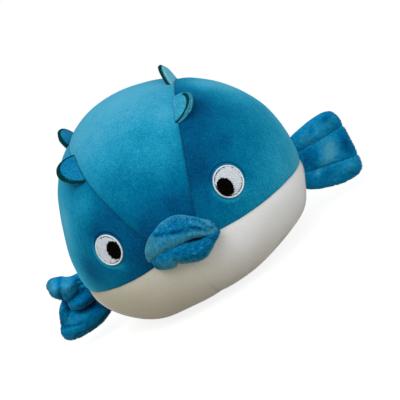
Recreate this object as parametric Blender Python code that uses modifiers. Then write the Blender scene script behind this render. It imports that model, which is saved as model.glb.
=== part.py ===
"""Plush puffer fish: a round stuffed body sewn from five fabric panels, with two padded lips, two side fins,
a tail fin, four half-oval flap spikes caught in the top seams, and embroidered eyes.

Metres, +Z up. The fish faces -Y and its own left side is +X. It rests on the flattened middle of its belly
at z = 0, with the origin under the middle of its bounding box. Shapes are worked out about the body's middle,
at its widest level, and an empty carries them to their place.
"""

import math
from functools import partial

import bmesh
import bpy
from mathutils import Vector

# Body: its reach from the middle, and how full the lower half is (2 is an ellipse, more is squarer)
HALF_WIDTH = 0.0950
HALF_DEPTH = 0.0880
CROWN_HEIGHT = 0.0955
BELLY_DEPTH = 0.0638
BELLY_FULLNESS = 2.9
REST_FLATTENING = 0.0015

# Broad unevenness of the stuffed body: the place, radius and height of each swell, less than 0 for a hollow
UNEVENNESS = {
    "right_shoulder": ((-0.0860, -0.0180, 0.0360), 0.0300, -0.0036),
    "crown": ((-0.0200, -0.0020, 0.0950), 0.0380, 0.0030),
    "left_shoulder": ((0.0850, 0.0060, 0.0420), 0.0400, 0.0022),
    "pressed_corner": ((0.0900, -0.0060, -0.0330), 0.0100, -0.0036),
    "left_belly": ((0.0520, -0.0340, -0.0560), 0.0170, -0.0042),
    "right_belly": ((-0.0420, -0.0470, -0.0550), 0.0220, 0.0028),
}
REST_SURROUND = 0.0100

# Fabric and its seams
FABRIC_THICKNESS = 0.0018
SEAM_GAP = 0.0003
SEAM_DIP = 0.0013
SEAM_DIP_REACH = 0.0120
SEATING_GAP = 0.0003
STUFFING_CLEARANCE = 0.0005

# Seam lines: the top panel widens upwards between two flat cuts, and the belly is cut level, raised at the mouth
TOP_PANEL_HALF_WIDTH = 0.0178
TOP_PANEL_FLARE = 0.335
BELLY_SEAM_DROP = 0.0150
MOUTH_RISE = 0.0050
MOUTH_RISE_HALF_WIDTH = 0.0340
MOUTH_RISE_DEPTH = 0.0400

# Lips
LIP_HALF_WIDTH = 0.0270
LIP_REACH = 0.0135
UPPER_LIP_HEIGHT = 0.0160
LOWER_LIP_HEIGHT = 0.0155
MOUTH_CORNER_LEVEL = -0.0100
MOUTH_ARCH = 0.0052
MOUTH_TILT = -0.06
MOUTH_OPENING = 0.0016
MOUTH_OPENING_PLACE = 0.0080
MOUTH_OPENING_HALF_WIDTH = 0.0060
LIP_CREASE_DEPTH = 0.0030
LIP_CREASE_PLACE = -0.0115
LIP_CREASE_HALF_WIDTH = 0.0028

# Side fins and tail fin
FIN_ROOT_LEVEL = -0.0190
FIN_ROOT_SETBACK = 0.0080
FIN_ROOT_HALF_HEIGHT = 0.0210
FIN_TIP_HALF_HEIGHT = 0.0318
FIN_CORNER_FULLNESS = 4.5
FIN_DROOP = 0.0068
FIN_THICKNESS = 0.0090
FIN_RIM_THICKNESS = 0.0040
FIN_STITCH_PLACE = 0.40
FIN_STITCH_PINCH = 0.60
LEFT_FIN_LENGTH = 0.0412
LEFT_FIN_SLANT = 0.0015
LEFT_FIN_SWEEP = math.radians(15.0)
RIGHT_FIN_LENGTH = 0.0350
RIGHT_FIN_SWEEP = math.radians(2.0)
RIGHT_FIN_TIP_HALF_HEIGHT = 0.0292
RIGHT_FIN_LOBE = 0.0115
RIGHT_FIN_LOBE_SHARES = (-0.30, 0.55)
RIGHT_FIN_NOTCH = 0.0030
RIGHT_FIN_NOTCH_SHARE = 0.30
RIGHT_FIN_NOTCH_WIDTH_SHARE = 0.14
RIGHT_FIN_GATHER_SHARE = 0.42
TAIL_ROOT_LEVEL = -0.0080
TAIL_ROOT_HALF_HEIGHT = 0.0190
TAIL_TIP_HALF_HEIGHT = 0.0290
TAIL_LENGTH = 0.0400
TAIL_DROOP = 0.0020

# Swells of the crumpled right fin, by shares of its length out and of its half height up from its middle: the
# place and half widths of each, and its share of the full height
RIGHT_FIN_SWELL_HEIGHT = 0.0080
RIGHT_FIN_SWELLS = {
    "outer_knuckle": ((0.79, 0.53), (0.18, 0.26), 0.94),
    "inner_knuckle": ((0.56, 0.22), (0.17, 0.21), 1.00),
    "lower_knuckle": ((0.59, -0.22), (0.20, 0.17), 1.06),
    "lobe": ((0.89, -0.82), (0.43, 0.29), 0.50),
}
RIGHT_FIN_FOLD_DEPTH = 0.0055
RIGHT_FIN_FOLD_SHARE = 0.095
RIGHT_FIN_FOLD_COURSE = ((1.00, 0.09), (0.77, -0.02), (0.79, -0.24), (0.60, -0.43), (0.26, -0.38))

# Flap spikes, each with its place along the top seam as an angle over the body, 0 in front, 90 at the crown
SPIKE_BASE_WIDTH = 0.0270
SPIKE_HEIGHT = 0.0138
SPIKE_THICKNESS = 0.0046
SPIKE_RIM_THICKNESS = 0.0030
FRONT_SPIKE_PLACE = math.radians(55.0)
REAR_SPIKE_PLACE = math.radians(90.5)
FRONT_SPIKE_LEAN = math.radians(50.0)
LEFT_REAR_SPIKE_LEAN = math.radians(-42.0)
RIGHT_REAR_SPIKE_LEAN = math.radians(-12.0)

# Embroidered eyes
EYE_SPACING = 0.0940
EYE_LEVEL = 0.0125
EYE_RADIUS = 0.0115
EYE_THICKNESS = 0.0013
PUPIL_HALF_WIDTH = 0.0058
PUPIL_HALF_HEIGHT = 0.0067
PUPIL_TOWARDS_NOSE = 0.0036
PUPIL_DROP = 0.0020
PUPIL_THICKNESS = 0.0017

# Colour, roughness and metallic value of each fabric and thread
FINISHES = {
    "crown_plush": ((0.052, 0.310, 0.480), 0.90, 0.0),
    "side_plush": ((0.020, 0.200, 0.330), 0.90, 0.0),
    "fin_plush": ((0.020, 0.230, 0.430), 0.95, 0.0),
    "belly_plush": ((0.720, 0.700, 0.660), 0.90, 0.0),
    "white_thread": ((0.800, 0.830, 0.880), 0.60, 0.0),
    "black_thread": ((0.010, 0.010, 0.011), 0.60, 0.0),
    "polyester_filling": ((0.850, 0.850, 0.840), 1.00, 0.0),
}

# Mesh fineness, in cells along and across each shape
TOP_PANEL_CELLS = (24, 10)
SIDE_PANEL_CELLS = (22, 10)
BELLY_PANEL_CELLS = (22, 8)
STUFFING_CELLS = (22, 13)
LIP_CELLS = (14, 20)
FIN_CELLS = (4, 10)
CRUMPLED_FIN_CELLS = (7, 13)
SPIKE_CELLS = (4, 3)
EYE_CELLS = (20, 5)

REST_LEVEL = REST_FLATTENING - BELLY_DEPTH
FRONT = Vector((0.0, -1.0, 0.0))
UP = Vector((0.0, 0.0, 1.0))
RAY_STEPS = 40
GRID_TOLERANCE = 1e-4


def clear_scene():
    for obj in list(bpy.data.objects):
        bpy.data.objects.remove(obj, do_unlink=True)


def new_collection(name):
    made = bpy.data.collections.new(name)
    bpy.context.scene.collection.children.link(made)
    return made


def make_finish(name):
    colour, roughness, metallic = FINISHES[name]
    made = bpy.data.materials.new(name)
    made.use_nodes = True
    shader = made.node_tree.nodes["Principled BSDF"]
    shader.inputs["Base Color"].default_value = (*colour, 1.0)
    shader.inputs["Roughness"].default_value = roughness
    shader.inputs["Metallic"].default_value = metallic
    made.diffuse_color = (*colour, 1.0)
    return made


def bell(distance, half_width):
    """1 at distance 0, fading smoothly over the half width."""
    return math.exp(-((distance / half_width) ** 2))


def ramp(value, low, high):
    """0 below low and 1 above high, smooth in between."""
    share = min(max((value - low) / (high - low), 0.0), 1.0)
    return share * share * (3.0 - 2.0 * share)


def signed_power(value, power):
    return math.copysign(abs(value) ** power, value)


# The body's surface


def level_at(point):
    """1 on the body's smooth surface, in proportion less inside it."""
    around = math.hypot(point.x / HALF_WIDTH, point.y / HALF_DEPTH)
    if point.z >= 0.0:
        level = math.hypot(around, point.z / CROWN_HEIGHT)
    else:
        below = -point.z / BELLY_DEPTH
        level = (around**BELLY_FULLNESS + below**BELLY_FULLNESS) ** (1.0 / BELLY_FULLNESS)
    even = point / level
    above_rest = ramp(even.z, REST_LEVEL, REST_LEVEL + REST_SURROUND)
    fuller = 1.0
    for place, radius, height in UNEVENNESS.values():
        centre = Vector(place)
        fuller += above_rest * height / centre.length * bell((even - centre).length, radius)
    return level / fuller


def on_surface(point):
    """The surface point in line with this one from the body's middle, pressed flat where the fish rests."""
    found = point / level_at(point)
    found.z = max(found.z, REST_LEVEL)
    return found


def normal_at(point):
    if point.z <= REST_LEVEL:
        return -UP
    if point.z >= 0.0:
        slope = Vector((point.x / HALF_WIDTH**2, point.y / HALF_DEPTH**2, point.z / CROWN_HEIGHT**2))
        return slope.normalized()
    around = math.hypot(point.x / HALF_WIDTH, point.y / HALF_DEPTH)
    share = around ** (BELLY_FULLNESS - 2.0)
    below = (-point.z / BELLY_DEPTH) ** (BELLY_FULLNESS - 1.0)
    slope = Vector((share * point.x / HALF_WIDTH**2, share * point.y / HALF_DEPTH**2, -below / BELLY_DEPTH))
    return slope.normalized()


def reach_along(start, direction):
    """How far the surface lies from a point inside the body."""
    near = 0.0
    far = 2.0 * max(HALF_WIDTH, HALF_DEPTH, CROWN_HEIGHT)
    for _ in range(RAY_STEPS):
        middle = 0.5 * (near + far)
        if level_at(start + direction * middle) < 1.0:
            near = middle
        else:
            far = middle
    return near


def seam_distance(point):
    """Distance from the nearest seam, before the belly seam is raised at the mouth."""
    from_belly_seam = abs(point.z + BELLY_SEAM_DROP)
    if point.z < -BELLY_SEAM_DROP:
        return min(from_belly_seam, abs(point.x))
    across = abs(point.x) - TOP_PANEL_HALF_WIDTH - TOP_PANEL_FLARE * point.z
    return min(from_belly_seam, abs(across) / math.hypot(1.0, TOP_PANEL_FLARE))


def raised_at_mouth(point):
    lift = bell(point.x, MOUTH_RISE_HALF_WIDTH) * bell(point.y + HALF_DEPTH, MOUTH_RISE_DEPTH)
    lift *= bell(point.z + BELLY_SEAM_DROP, MOUTH_RISE_DEPTH)
    return point + UP * (MOUTH_RISE * lift)


def seam_dip(distance):
    """How far the skin is drawn in at this distance from a seam."""
    return SEAM_DIP * max(0.0, 1.0 - distance / SEAM_DIP_REACH) ** 2


def sewn(point):
    """Takes a point of the plain form to its place on the sewn skin, drawn in along the seams."""
    placed = on_surface(raised_at_mouth(point))
    return placed - normal_at(placed) * seam_dip(seam_distance(point))


# Building helpers


def add_object(name, shape, finish, collection, parent, origin):
    """Makes an object of a bmesh drawn about the body's middle, with the object's own origin on it."""
    shape.normal_update()
    bmesh.ops.translate(shape, verts=shape.verts, vec=-origin)
    mesh = bpy.data.meshes.new(name)
    shape.to_mesh(mesh)
    shape.free()
    mesh.materials.append(finish)
    mesh.shade_smooth()
    made = bpy.data.objects.new(name, mesh)
    collection.objects.link(made)
    made.parent = parent
    made.location = origin
    return made


def face_outwards(shape):
    """Gives a closed shape faces that all point out of it."""
    bmesh.ops.recalc_face_normals(shape, faces=shape.faces)
    if shape.calc_volume(signed=True) < 0.0:
        bmesh.ops.reverse_faces(shape, faces=shape.faces)


def mapped_grid(cells, place):
    """A grid from -1 to 1 both ways, each point taken to its place, facing away from the body's middle."""
    shape = bmesh.new()
    bmesh.ops.create_grid(shape, x_segments=cells[0], y_segments=cells[1], size=1.0)
    for vertex in shape.verts:
        vertex.co = place(vertex.co.x, vertex.co.y)
    bmesh.ops.remove_doubles(shape, verts=shape.verts, dist=1e-6)
    bmesh.ops.recalc_face_normals(shape, faces=shape.faces)
    outward = sum(face.normal.dot(face.calc_center_median()) for face in shape.faces)
    if outward < 0.0:
        bmesh.ops.reverse_faces(shape, faces=shape.faces)
    return shape


def mapped_sphere(cells, place):
    shape = bmesh.new()
    bmesh.ops.create_uvsphere(shape, u_segments=cells[0], v_segments=cells[1], radius=1.0)
    for vertex in shape.verts:
        vertex.co = place(vertex.co.copy())
    face_outwards(shape)
    return shape


def mapped_pad(cells, root_axis, place):
    """Two layers joined round their rim, with a sharp edge round the root, where the pad is sewn on.

    place takes both grid positions and the layer, 1 in front or -1 behind; the root is at -1 along root_axis.
    """
    shape = bmesh.new()
    bmesh.ops.create_grid(shape, x_segments=cells[0], y_segments=cells[1], size=1.0)
    extruded = bmesh.ops.extrude_face_region(shape, geom=list(shape.faces))
    front = {item for item in extruded["geom"] if isinstance(item, bmesh.types.BMVert)}
    crease = shape.edges.layers.float.new("crease_edge")
    for edge in shape.edges:
        if all(vertex.co[root_axis] < -1.0 + GRID_TOLERANCE for vertex in edge.verts):
            edge[crease] = 1.0
    for vertex in shape.verts:
        vertex.co = place(vertex.co.x, vertex.co.y, 1.0 if vertex in front else -1.0)
    face_outwards(shape)
    return shape


def add_fabric(obj):
    solidify = obj.modifiers.new("fabric", "SOLIDIFY")
    solidify.thickness = FABRIC_THICKNESS
    solidify.offset = -1.0


def add_subdivision(obj):
    rounded = obj.modifiers.new("rounded", "SUBSURF")
    rounded.levels = 1
    rounded.render_levels = 1


# Body panels and filling


def spaced(position):
    """Takes -1 to 1 to 0 to 1, closer together at both ends, where the seams are."""
    return 0.5 * (1.0 + math.sin(0.5 * math.pi * position))


def top_panel_point(along, across):
    """along runs from the mouth over the crown to the tail, across from seam to seam."""
    angle = 0.5 * math.pi * (1.0 + along)
    half_gap = 0.5 * SEAM_GAP
    floor = half_gap - BELLY_SEAM_DROP
    side = 2.0 * spaced(across) - 1.0
    direction = Vector((0.0, -math.cos(angle), math.sin(angle)))
    direction.x = side * TOP_PANEL_FLARE * direction.z
    edge = TOP_PANEL_HALF_WIDTH + TOP_PANEL_FLARE * floor - half_gap * math.hypot(1.0, TOP_PANEL_FLARE)
    start = Vector((side * edge, 0.0, floor))
    return sewn(start + direction * reach_along(start, direction))


def side_panel_point(along, across, side):
    """A fan about the line where the top seam's flat cut meets the belly seam's, from front to rear."""
    half_gap = 0.5 * SEAM_GAP
    floor = half_gap - BELLY_SEAM_DROP
    edge = TOP_PANEL_HALF_WIDTH + TOP_PANEL_FLARE * floor + half_gap * math.hypot(1.0, TOP_PANEL_FLARE)
    start = Vector((side * edge, 0.0, floor))
    lift = math.atan2(1.0, TOP_PANEL_FLARE) * spaced(across)
    turn = 0.5 * math.pi * along
    outward = math.cos(turn)
    direction = Vector((side * outward * math.cos(lift), math.sin(turn), outward * math.sin(lift)))
    return sewn(start + direction * reach_along(start, direction))


def belly_panel_point(along, across, side):
    """A quarter turn from straight down at the belly's centre seam out to the belly seam."""
    half_gap = 0.5 * SEAM_GAP
    start = Vector((side * half_gap, 0.0, -half_gap - BELLY_SEAM_DROP))
    lift = 0.5 * math.pi * (spaced(across) - 1.0)
    turn = 0.5 * math.pi * along
    outward = math.cos(turn)
    direction = Vector((side * outward * math.cos(lift), math.sin(turn), outward * math.sin(lift)))
    return sewn(start + direction * reach_along(start, direction))


def stuffing_point(position):
    placed = on_surface(position)
    inset = FABRIC_THICKNESS + SEAM_DIP + STUFFING_CLEARANCE
    return placed - normal_at(placed) * inset


def make_body(finishes, collection, parent):
    middle = Vector((0.0, 0.0, 0.0))
    panels = [("top_panel", TOP_PANEL_CELLS, top_panel_point, "crown_plush")]
    for word, side in (("left", 1.0), ("right", -1.0)):
        flank = partial(side_panel_point, side=side)
        belly = partial(belly_panel_point, side=side)
        panels.append((f"{word}_panel", SIDE_PANEL_CELLS, flank, "side_plush"))
        panels.append((f"belly_{word}", BELLY_PANEL_CELLS, belly, "belly_plush"))
    for name, cells, place, finish in panels:
        shape = mapped_grid(cells, place)
        add_fabric(add_object(name, shape, finishes[finish], collection, parent, middle))
    filling = mapped_sphere(STUFFING_CELLS, stuffing_point)
    add_object("stuffing", filling, finishes["polyester_filling"], collection, parent, middle)


# Lips


def mouth_level(across):
    """Height of the slit between the lips, arched from corner to corner and tilted."""
    return MOUTH_CORNER_LEVEL + MOUTH_ARCH * (1.0 - (across / LIP_HALF_WIDTH) ** 2) + MOUTH_TILT * across


def half_opening(across):
    gape = MOUTH_OPENING * bell(across - MOUTH_OPENING_PLACE, MOUTH_OPENING_HALF_WIDTH)
    return 0.5 * (SEATING_GAP + gape)


def lip_height(across, ring, upwards):
    """How far the lip stands up or down the face from the slit."""
    if upwards:
        return UPPER_LIP_HEIGHT * ring**0.75
    fuller_left = 1.0 + 0.12 * across / LIP_HALF_WIDTH
    crease = LIP_CREASE_DEPTH * bell(across - LIP_CREASE_PLACE, LIP_CREASE_HALF_WIDTH)
    return max(LOWER_LIP_HEIGHT * fuller_left * ring**0.75 - crease, 0.2 * LOWER_LIP_HEIGHT * ring)


def lip_point(position, upwards):
    """Takes a sphere's point, its poles at the mouth's corners, to a cushion lying flat against the face."""
    ring = math.sqrt(max(0.0, 1.0 - position.z**2))
    angle = math.atan2(position.y, position.x) if ring > 1e-6 else 0.0
    across = LIP_HALF_WIDTH * position.z
    out = signed_power(math.cos(angle), 0.75)
    rise = signed_power(math.sin(angle), 0.75)
    reach = LIP_REACH * ring**0.85 * max(out, 0.0)
    sag = 0.22 * max(out, 0.0)
    height = lip_height(across, ring, upwards) * (0.5 + 0.5 * rise - sag)
    height = max(height, 0.0) + half_opening(across)
    level = mouth_level(across) + (height if upwards else -height)
    seat = on_surface(Vector((across, -math.sqrt(HALF_DEPTH**2 - across**2), level)))
    return seat + normal_at(seat) * (SEATING_GAP + reach)


def make_lips(finish, collection, parent):
    for name, upwards in (("upper_lip", True), ("lower_lip", False)):
        shape = mapped_sphere(LIP_CELLS, lambda p, u=upwards: lip_point(p, u))
        origin = Vector((0.0, -HALF_DEPTH, mouth_level(0.0)))
        add_object(name, shape, finish, collection, parent, origin)


# Fins


def padding(height):
    """Thickness share from the lower edge at -1 to the upper at 1, pinched at the two rows of stitching."""
    bounds = (-1.0, -FIN_STITCH_PLACE, FIN_STITCH_PLACE, 1.0)
    for low, high in zip(bounds, bounds[1:]):
        if height <= high:
            share = (2.0 * height - low - high) / (high - low)
            return 1.0 - FIN_STITCH_PINCH * share**2
    return 1.0 - FIN_STITCH_PINCH


def rounded_corners(out, height):
    """Takes a place on a half square, its root at out 0, to one with rounded tip corners."""
    side = abs(height)
    full = (out**FIN_CORNER_FULLNESS + side**FIN_CORNER_FULLNESS) ** (1.0 / FIN_CORNER_FULLNESS)
    share = max(out, side) / full if full > 0.0 else 1.0
    return out * share, height * share


def distance_to_path(place, path):
    nearest = math.inf
    for start, end in zip(path, path[1:]):
        along = Vector(end) - Vector(start)
        share = min(max((place - Vector(start)).dot(along) / along.length_squared, 0.0), 1.0)
        nearest = min(nearest, (place - Vector(start) - along * share).length)
    return nearest


def flat_reach(height):
    return LEFT_FIN_LENGTH + LEFT_FIN_SLANT * height


def crumpled_reach(height):
    """Short above the notch that the fold makes in the edge, and longer in the lobe below it."""
    lobe = RIGHT_FIN_LOBE * ramp(-height, *RIGHT_FIN_LOBE_SHARES)
    notch = RIGHT_FIN_NOTCH * bell(height - RIGHT_FIN_NOTCH_SHARE, RIGHT_FIN_NOTCH_WIDTH_SHARE)
    return RIGHT_FIN_LENGTH + lobe - notch


def crumpled_relief(out, level):
    """Three knuckles above the deep fold, and one broad swell below it."""
    place = Vector((out / RIGHT_FIN_LENGTH, (level - FIN_ROOT_LEVEL) / RIGHT_FIN_TIP_HALF_HEIGHT))
    swell = 0.0
    for middle, half_widths, share in RIGHT_FIN_SWELLS.values():
        swell += share * bell(place.x - middle[0], half_widths[0]) * bell(place.y - middle[1], half_widths[1])
    fold = bell(distance_to_path(place, RIGHT_FIN_FOLD_COURSE), RIGHT_FIN_FOLD_SHARE)
    return RIGHT_FIN_SWELL_HEIGHT * swell - RIGHT_FIN_FOLD_DEPTH * fold


def flat_relief(_out, _level):
    return 0.0


def fin_point(grid_out, grid_height, layer, fin):
    """out runs from the root on the body to the tip, height from the lower edge to the upper."""
    out, height = rounded_corners(0.5 * (1.0 + grid_out), grid_height)
    half_height = fin["root_half"] + (fin["tip_half"] - fin["root_half"]) * out**0.8
    half_height *= 1.0 - fin["gathered"] * ramp(height, 0.0, 0.6) * (1.0 - ramp(out, 0.15, 0.8))
    length = fin["reach"](height) * out
    level = fin["level"] - fin["droop"] * out + half_height * height
    rim = 1.0 - max(abs(grid_height), abs(grid_out)) ** 5
    puff = (FIN_THICKNESS - FIN_RIM_THICKNESS) * padding(height) * rim
    relief = fin["relief"](length, level) * ramp(out, 0.0, 0.25)
    offset = layer * 0.5 * (FIN_RIM_THICKNESS + puff) + relief
    start = fin["root"] + UP * level + fin["facing"] * offset
    at_root = reach_along(start, fin["outward"])
    at_middle = reach_along(fin["root"] + UP * fin["level"], fin["outward"])
    settled = at_root + (at_middle - at_root) * out
    reach = settled + SEATING_GAP + length * math.cos(fin["sweep"])
    return start + fin["outward"] * reach - fin["facing"] * (length * math.sin(fin["sweep"]))


def make_fins(finish, collection, parent):
    side_fin = {
        "level": FIN_ROOT_LEVEL,
        "root": Vector((0.0, FIN_ROOT_SETBACK, 0.0)),
        "root_half": FIN_ROOT_HALF_HEIGHT,
        "tip_half": FIN_TIP_HALF_HEIGHT,
        "droop": FIN_DROOP,
        "gathered": 0.0,
        "facing": FRONT,
    }
    left = dict(side_fin, outward=Vector((1.0, 0.0, 0.0)), sweep=LEFT_FIN_SWEEP, relief=flat_relief)
    left["reach"] = flat_reach
    right = dict(side_fin, outward=Vector((-1.0, 0.0, 0.0)), sweep=RIGHT_FIN_SWEEP, relief=crumpled_relief)
    right.update(reach=crumpled_reach, tip_half=RIGHT_FIN_TIP_HALF_HEIGHT, gathered=RIGHT_FIN_GATHER_SHARE)
    tail = {
        "level": TAIL_ROOT_LEVEL,
        "root": Vector((0.0, 0.0, 0.0)),
        "root_half": TAIL_ROOT_HALF_HEIGHT,
        "tip_half": TAIL_TIP_HALF_HEIGHT,
        "droop": TAIL_DROOP,
        "gathered": 0.0,
        "facing": Vector((1.0, 0.0, 0.0)),
        "outward": -FRONT,
        "sweep": 0.0,
        "relief": flat_relief,
        "reach": lambda _height: TAIL_LENGTH,
    }
    for name, cells, fin in (
        ("left_fin", FIN_CELLS, left),
        ("right_fin", CRUMPLED_FIN_CELLS, right),
        ("tail_fin", FIN_CELLS, tail),
    ):
        shape = mapped_pad(cells, 0, lambda u, v, layer, f=fin: fin_point(u, v, layer, f))
        middle = fin["root"] + UP * fin["level"]
        origin = middle + fin["outward"] * reach_along(middle, fin["outward"])
        add_subdivision(add_object(name, shape, finish, collection, parent, origin))


# Spikes


def seam_point(place, side):
    """A point of the top seam's flat cut on the plain surface, by its angle over the body from the front."""
    direction = Vector((0.0, -math.cos(place), math.sin(place)))
    direction.x = side * TOP_PANEL_FLARE * direction.z
    start = Vector((side * TOP_PANEL_HALF_WIDTH, 0.0, 0.0))
    return start + direction * reach_along(start, direction)


def spike_point(grid_along, grid_up, layer, spike):
    """A half oval on its cut edge, which follows the seam."""
    up = 0.5 * (1.0 + grid_up)
    along = grid_along * math.sqrt(1.0 - 0.5 * up**2)
    height = up * math.sqrt(1.0 - 0.5 * grid_along**2)
    rim = 1.0 - max(abs(grid_along), up) ** 4
    half_thickness = 0.5 * (SPIKE_RIM_THICKNESS + (SPIKE_THICKNESS - SPIKE_RIM_THICKNESS) * rim)
    middle = spike["middle"]
    place = middle + spike["along"] * (0.5 * SPIKE_BASE_WIDTH * along)
    base = on_surface(place + spike["across"] * (layer * half_thickness))
    seat = SEATING_GAP - seam_dip(half_thickness)
    return base + normal_at(base) * seat + spike["stand"] * (SPIKE_HEIGHT * height)


def make_spikes(finish, collection, parent):
    for name, side, place, lean in (
        ("front_left_spike", 1.0, FRONT_SPIKE_PLACE, FRONT_SPIKE_LEAN),
        ("front_right_spike", -1.0, FRONT_SPIKE_PLACE, FRONT_SPIKE_LEAN),
        ("rear_left_spike", 1.0, REAR_SPIKE_PLACE, LEFT_REAR_SPIKE_LEAN),
        ("rear_right_spike", -1.0, REAR_SPIKE_PLACE, RIGHT_REAR_SPIKE_LEAN),
    ):
        middle = seam_point(place, side)
        step = math.radians(2.0)
        along = (seam_point(place + step, side) - seam_point(place - step, side)).normalized()
        normal = normal_at(middle)
        across = along.cross(normal).normalized()
        if across.x * side < 0.0:
            across = -across
        spike = {
            "middle": middle,
            "along": along,
            "across": across,
            "stand": (normal * math.cos(lean) + across * math.sin(lean)).normalized(),
        }
        shape = mapped_pad(SPIKE_CELLS, 1, lambda u, v, layer, s=spike: spike_point(u, v, layer, s))
        add_subdivision(add_object(name, shape, finish, collection, parent, middle))


# Eyes


def eye_frame(side):
    """The eye's middle on the skin, and its directions towards the nose and up."""
    inside = Vector((0.5 * side * EYE_SPACING, 0.0, EYE_LEVEL))
    middle = inside + FRONT * reach_along(inside, FRONT)
    normal = normal_at(middle)
    up = (UP - normal * UP.dot(normal)).normalized()
    towards_nose = normal.cross(up).normalized()
    if towards_nose.x * side > 0.0:
        towards_nose = -towards_nose
    return middle, towards_nose, up


def pad_shape(centre, towards_nose, up, half_width, half_height, base, top):
    """A thin blunt-edged oval pad that follows the skin, from base to top above it."""

    def place(position):
        flat = centre + towards_nose * (half_width * position.x) + up * (half_height * position.y)
        seat = on_surface(flat)
        share = 0.5 * (1.0 + signed_power(position.z, 0.45))
        return seat + normal_at(seat) * (base + (top - base) * share)

    return mapped_sphere(EYE_CELLS, place)


def make_eyes(finishes, collection, cutters, parent):
    for name, side in (("left", 1.0), ("right", -1.0)):
        middle, towards_nose, up = eye_frame(side)
        pupil_middle = middle + towards_nose * PUPIL_TOWARDS_NOSE - up * PUPIL_DROP
        base = SEATING_GAP
        white = add_object(
            f"{name}_eye_white",
            pad_shape(middle, towards_nose, up, EYE_RADIUS, EYE_RADIUS, base, base + EYE_THICKNESS),
            finishes["white_thread"],
            collection,
            parent,
            middle,
        )
        cutter = add_object(
            f"{name}_pupil_cutter",
            pad_shape(
                pupil_middle,
                towards_nose,
                up,
                PUPIL_HALF_WIDTH + SEATING_GAP,
                PUPIL_HALF_HEIGHT + SEATING_GAP,
                base - 2.0 * EYE_THICKNESS,
                base + 3.0 * EYE_THICKNESS,
            ),
            finishes["white_thread"],
            cutters,
            parent,
            pupil_middle,
        )
        cutter.hide_render = True
        cutter.display_type = "WIRE"
        hole = white.modifiers.new("pupil_hole", "BOOLEAN")
        hole.operation = "DIFFERENCE"
        hole.solver = "EXACT"
        hole.object = cutter
        add_object(
            f"{name}_pupil",
            pad_shape(
                pupil_middle,
                towards_nose,
                up,
                PUPIL_HALF_WIDTH,
                PUPIL_HALF_HEIGHT,
                base,
                base + PUPIL_THICKNESS,
            ),
            finishes["black_thread"],
            collection,
            parent,
            pupil_middle,
        )


def centre_over_footprint(collection, carrier):
    """Carries the fish so that it rests at z = 0 with its bounding box centred on the origin."""
    carrier.location = (0.0, 0.0, -REST_LEVEL)
    bpy.context.view_layer.update()
    graph = bpy.context.evaluated_depsgraph_get()
    corners = []
    for obj in collection.objects:
        if obj.type == "MESH":
            evaluated = obj.evaluated_get(graph)
            corners += [evaluated.matrix_world @ Vector(corner) for corner in evaluated.bound_box]
    middle_x = 0.5 * (min(c.x for c in corners) + max(c.x for c in corners))
    middle_y = 0.5 * (min(c.y for c in corners) + max(c.y for c in corners))
    carrier.location = (-middle_x, -middle_y, -REST_LEVEL)
    bpy.context.view_layer.update()


def main():
    clear_scene()
    parts = new_collection("plush_puffer_fish")
    cutters = new_collection("cutters")
    finishes = {name: make_finish(name) for name in FINISHES}
    carrier = bpy.data.objects.new("body_middle", None)
    parts.objects.link(carrier)
    make_body(finishes, parts, carrier)
    make_lips(finishes["fin_plush"], parts, carrier)
    make_fins(finishes["fin_plush"], parts, carrier)
    make_spikes(finishes["side_plush"], parts, carrier)
    make_eyes(finishes, parts, cutters, carrier)
    centre_over_footprint(parts, carrier)


main()
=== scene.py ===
"""Plush puffer fish: the finish of every surface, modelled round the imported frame.

Metres, in the frame's axes: +Z up, the fish faces -Y and its own left side is +X. Shapes are worked out
about the body's middle, at its widest level, and move to their place when their object is made.
"""

import math

import bmesh
import bpy
import numpy as np
from mathutils import Matrix, Vector, kdtree, noise


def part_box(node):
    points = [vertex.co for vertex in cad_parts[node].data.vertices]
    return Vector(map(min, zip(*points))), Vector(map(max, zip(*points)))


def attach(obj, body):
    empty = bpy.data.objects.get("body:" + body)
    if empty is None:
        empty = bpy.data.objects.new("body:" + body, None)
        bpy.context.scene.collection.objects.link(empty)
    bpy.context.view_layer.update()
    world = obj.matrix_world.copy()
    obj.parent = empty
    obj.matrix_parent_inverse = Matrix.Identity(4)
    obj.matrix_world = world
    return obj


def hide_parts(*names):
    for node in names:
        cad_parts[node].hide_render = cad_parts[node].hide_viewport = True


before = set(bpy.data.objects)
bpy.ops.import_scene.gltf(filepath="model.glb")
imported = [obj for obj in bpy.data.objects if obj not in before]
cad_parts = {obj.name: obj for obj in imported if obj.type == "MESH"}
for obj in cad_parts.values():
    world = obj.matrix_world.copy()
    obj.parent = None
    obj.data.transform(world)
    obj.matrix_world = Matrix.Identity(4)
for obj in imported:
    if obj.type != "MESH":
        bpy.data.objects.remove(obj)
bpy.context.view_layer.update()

# Body, as the solids have it
HALF_WIDTH = 0.0950
HALF_DEPTH = 0.0880
CROWN_HEIGHT = 0.0955
BELLY_DEPTH = 0.0638
BELLY_FULLNESS = 2.9
REST_FLATTENING = 0.0015
REST_LEVEL = REST_FLATTENING - BELLY_DEPTH
FABRIC_THICKNESS = 0.0018
SEAM_GAP = 0.00002
SEATING_GAP = 0.0003
SEAM_DIP = 0.0013
SEAM_DIP_REACH = 0.0120
TOP_PANEL_HALF_WIDTH = 0.0178
TOP_PANEL_FLARE = 0.335
BELLY_SEAM_DROP = 0.0150
MOUTH_RISE = 0.0050
MOUTH_RISE_HALF_WIDTH = 0.0340
MOUTH_RISE_DEPTH = 0.0400

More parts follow.
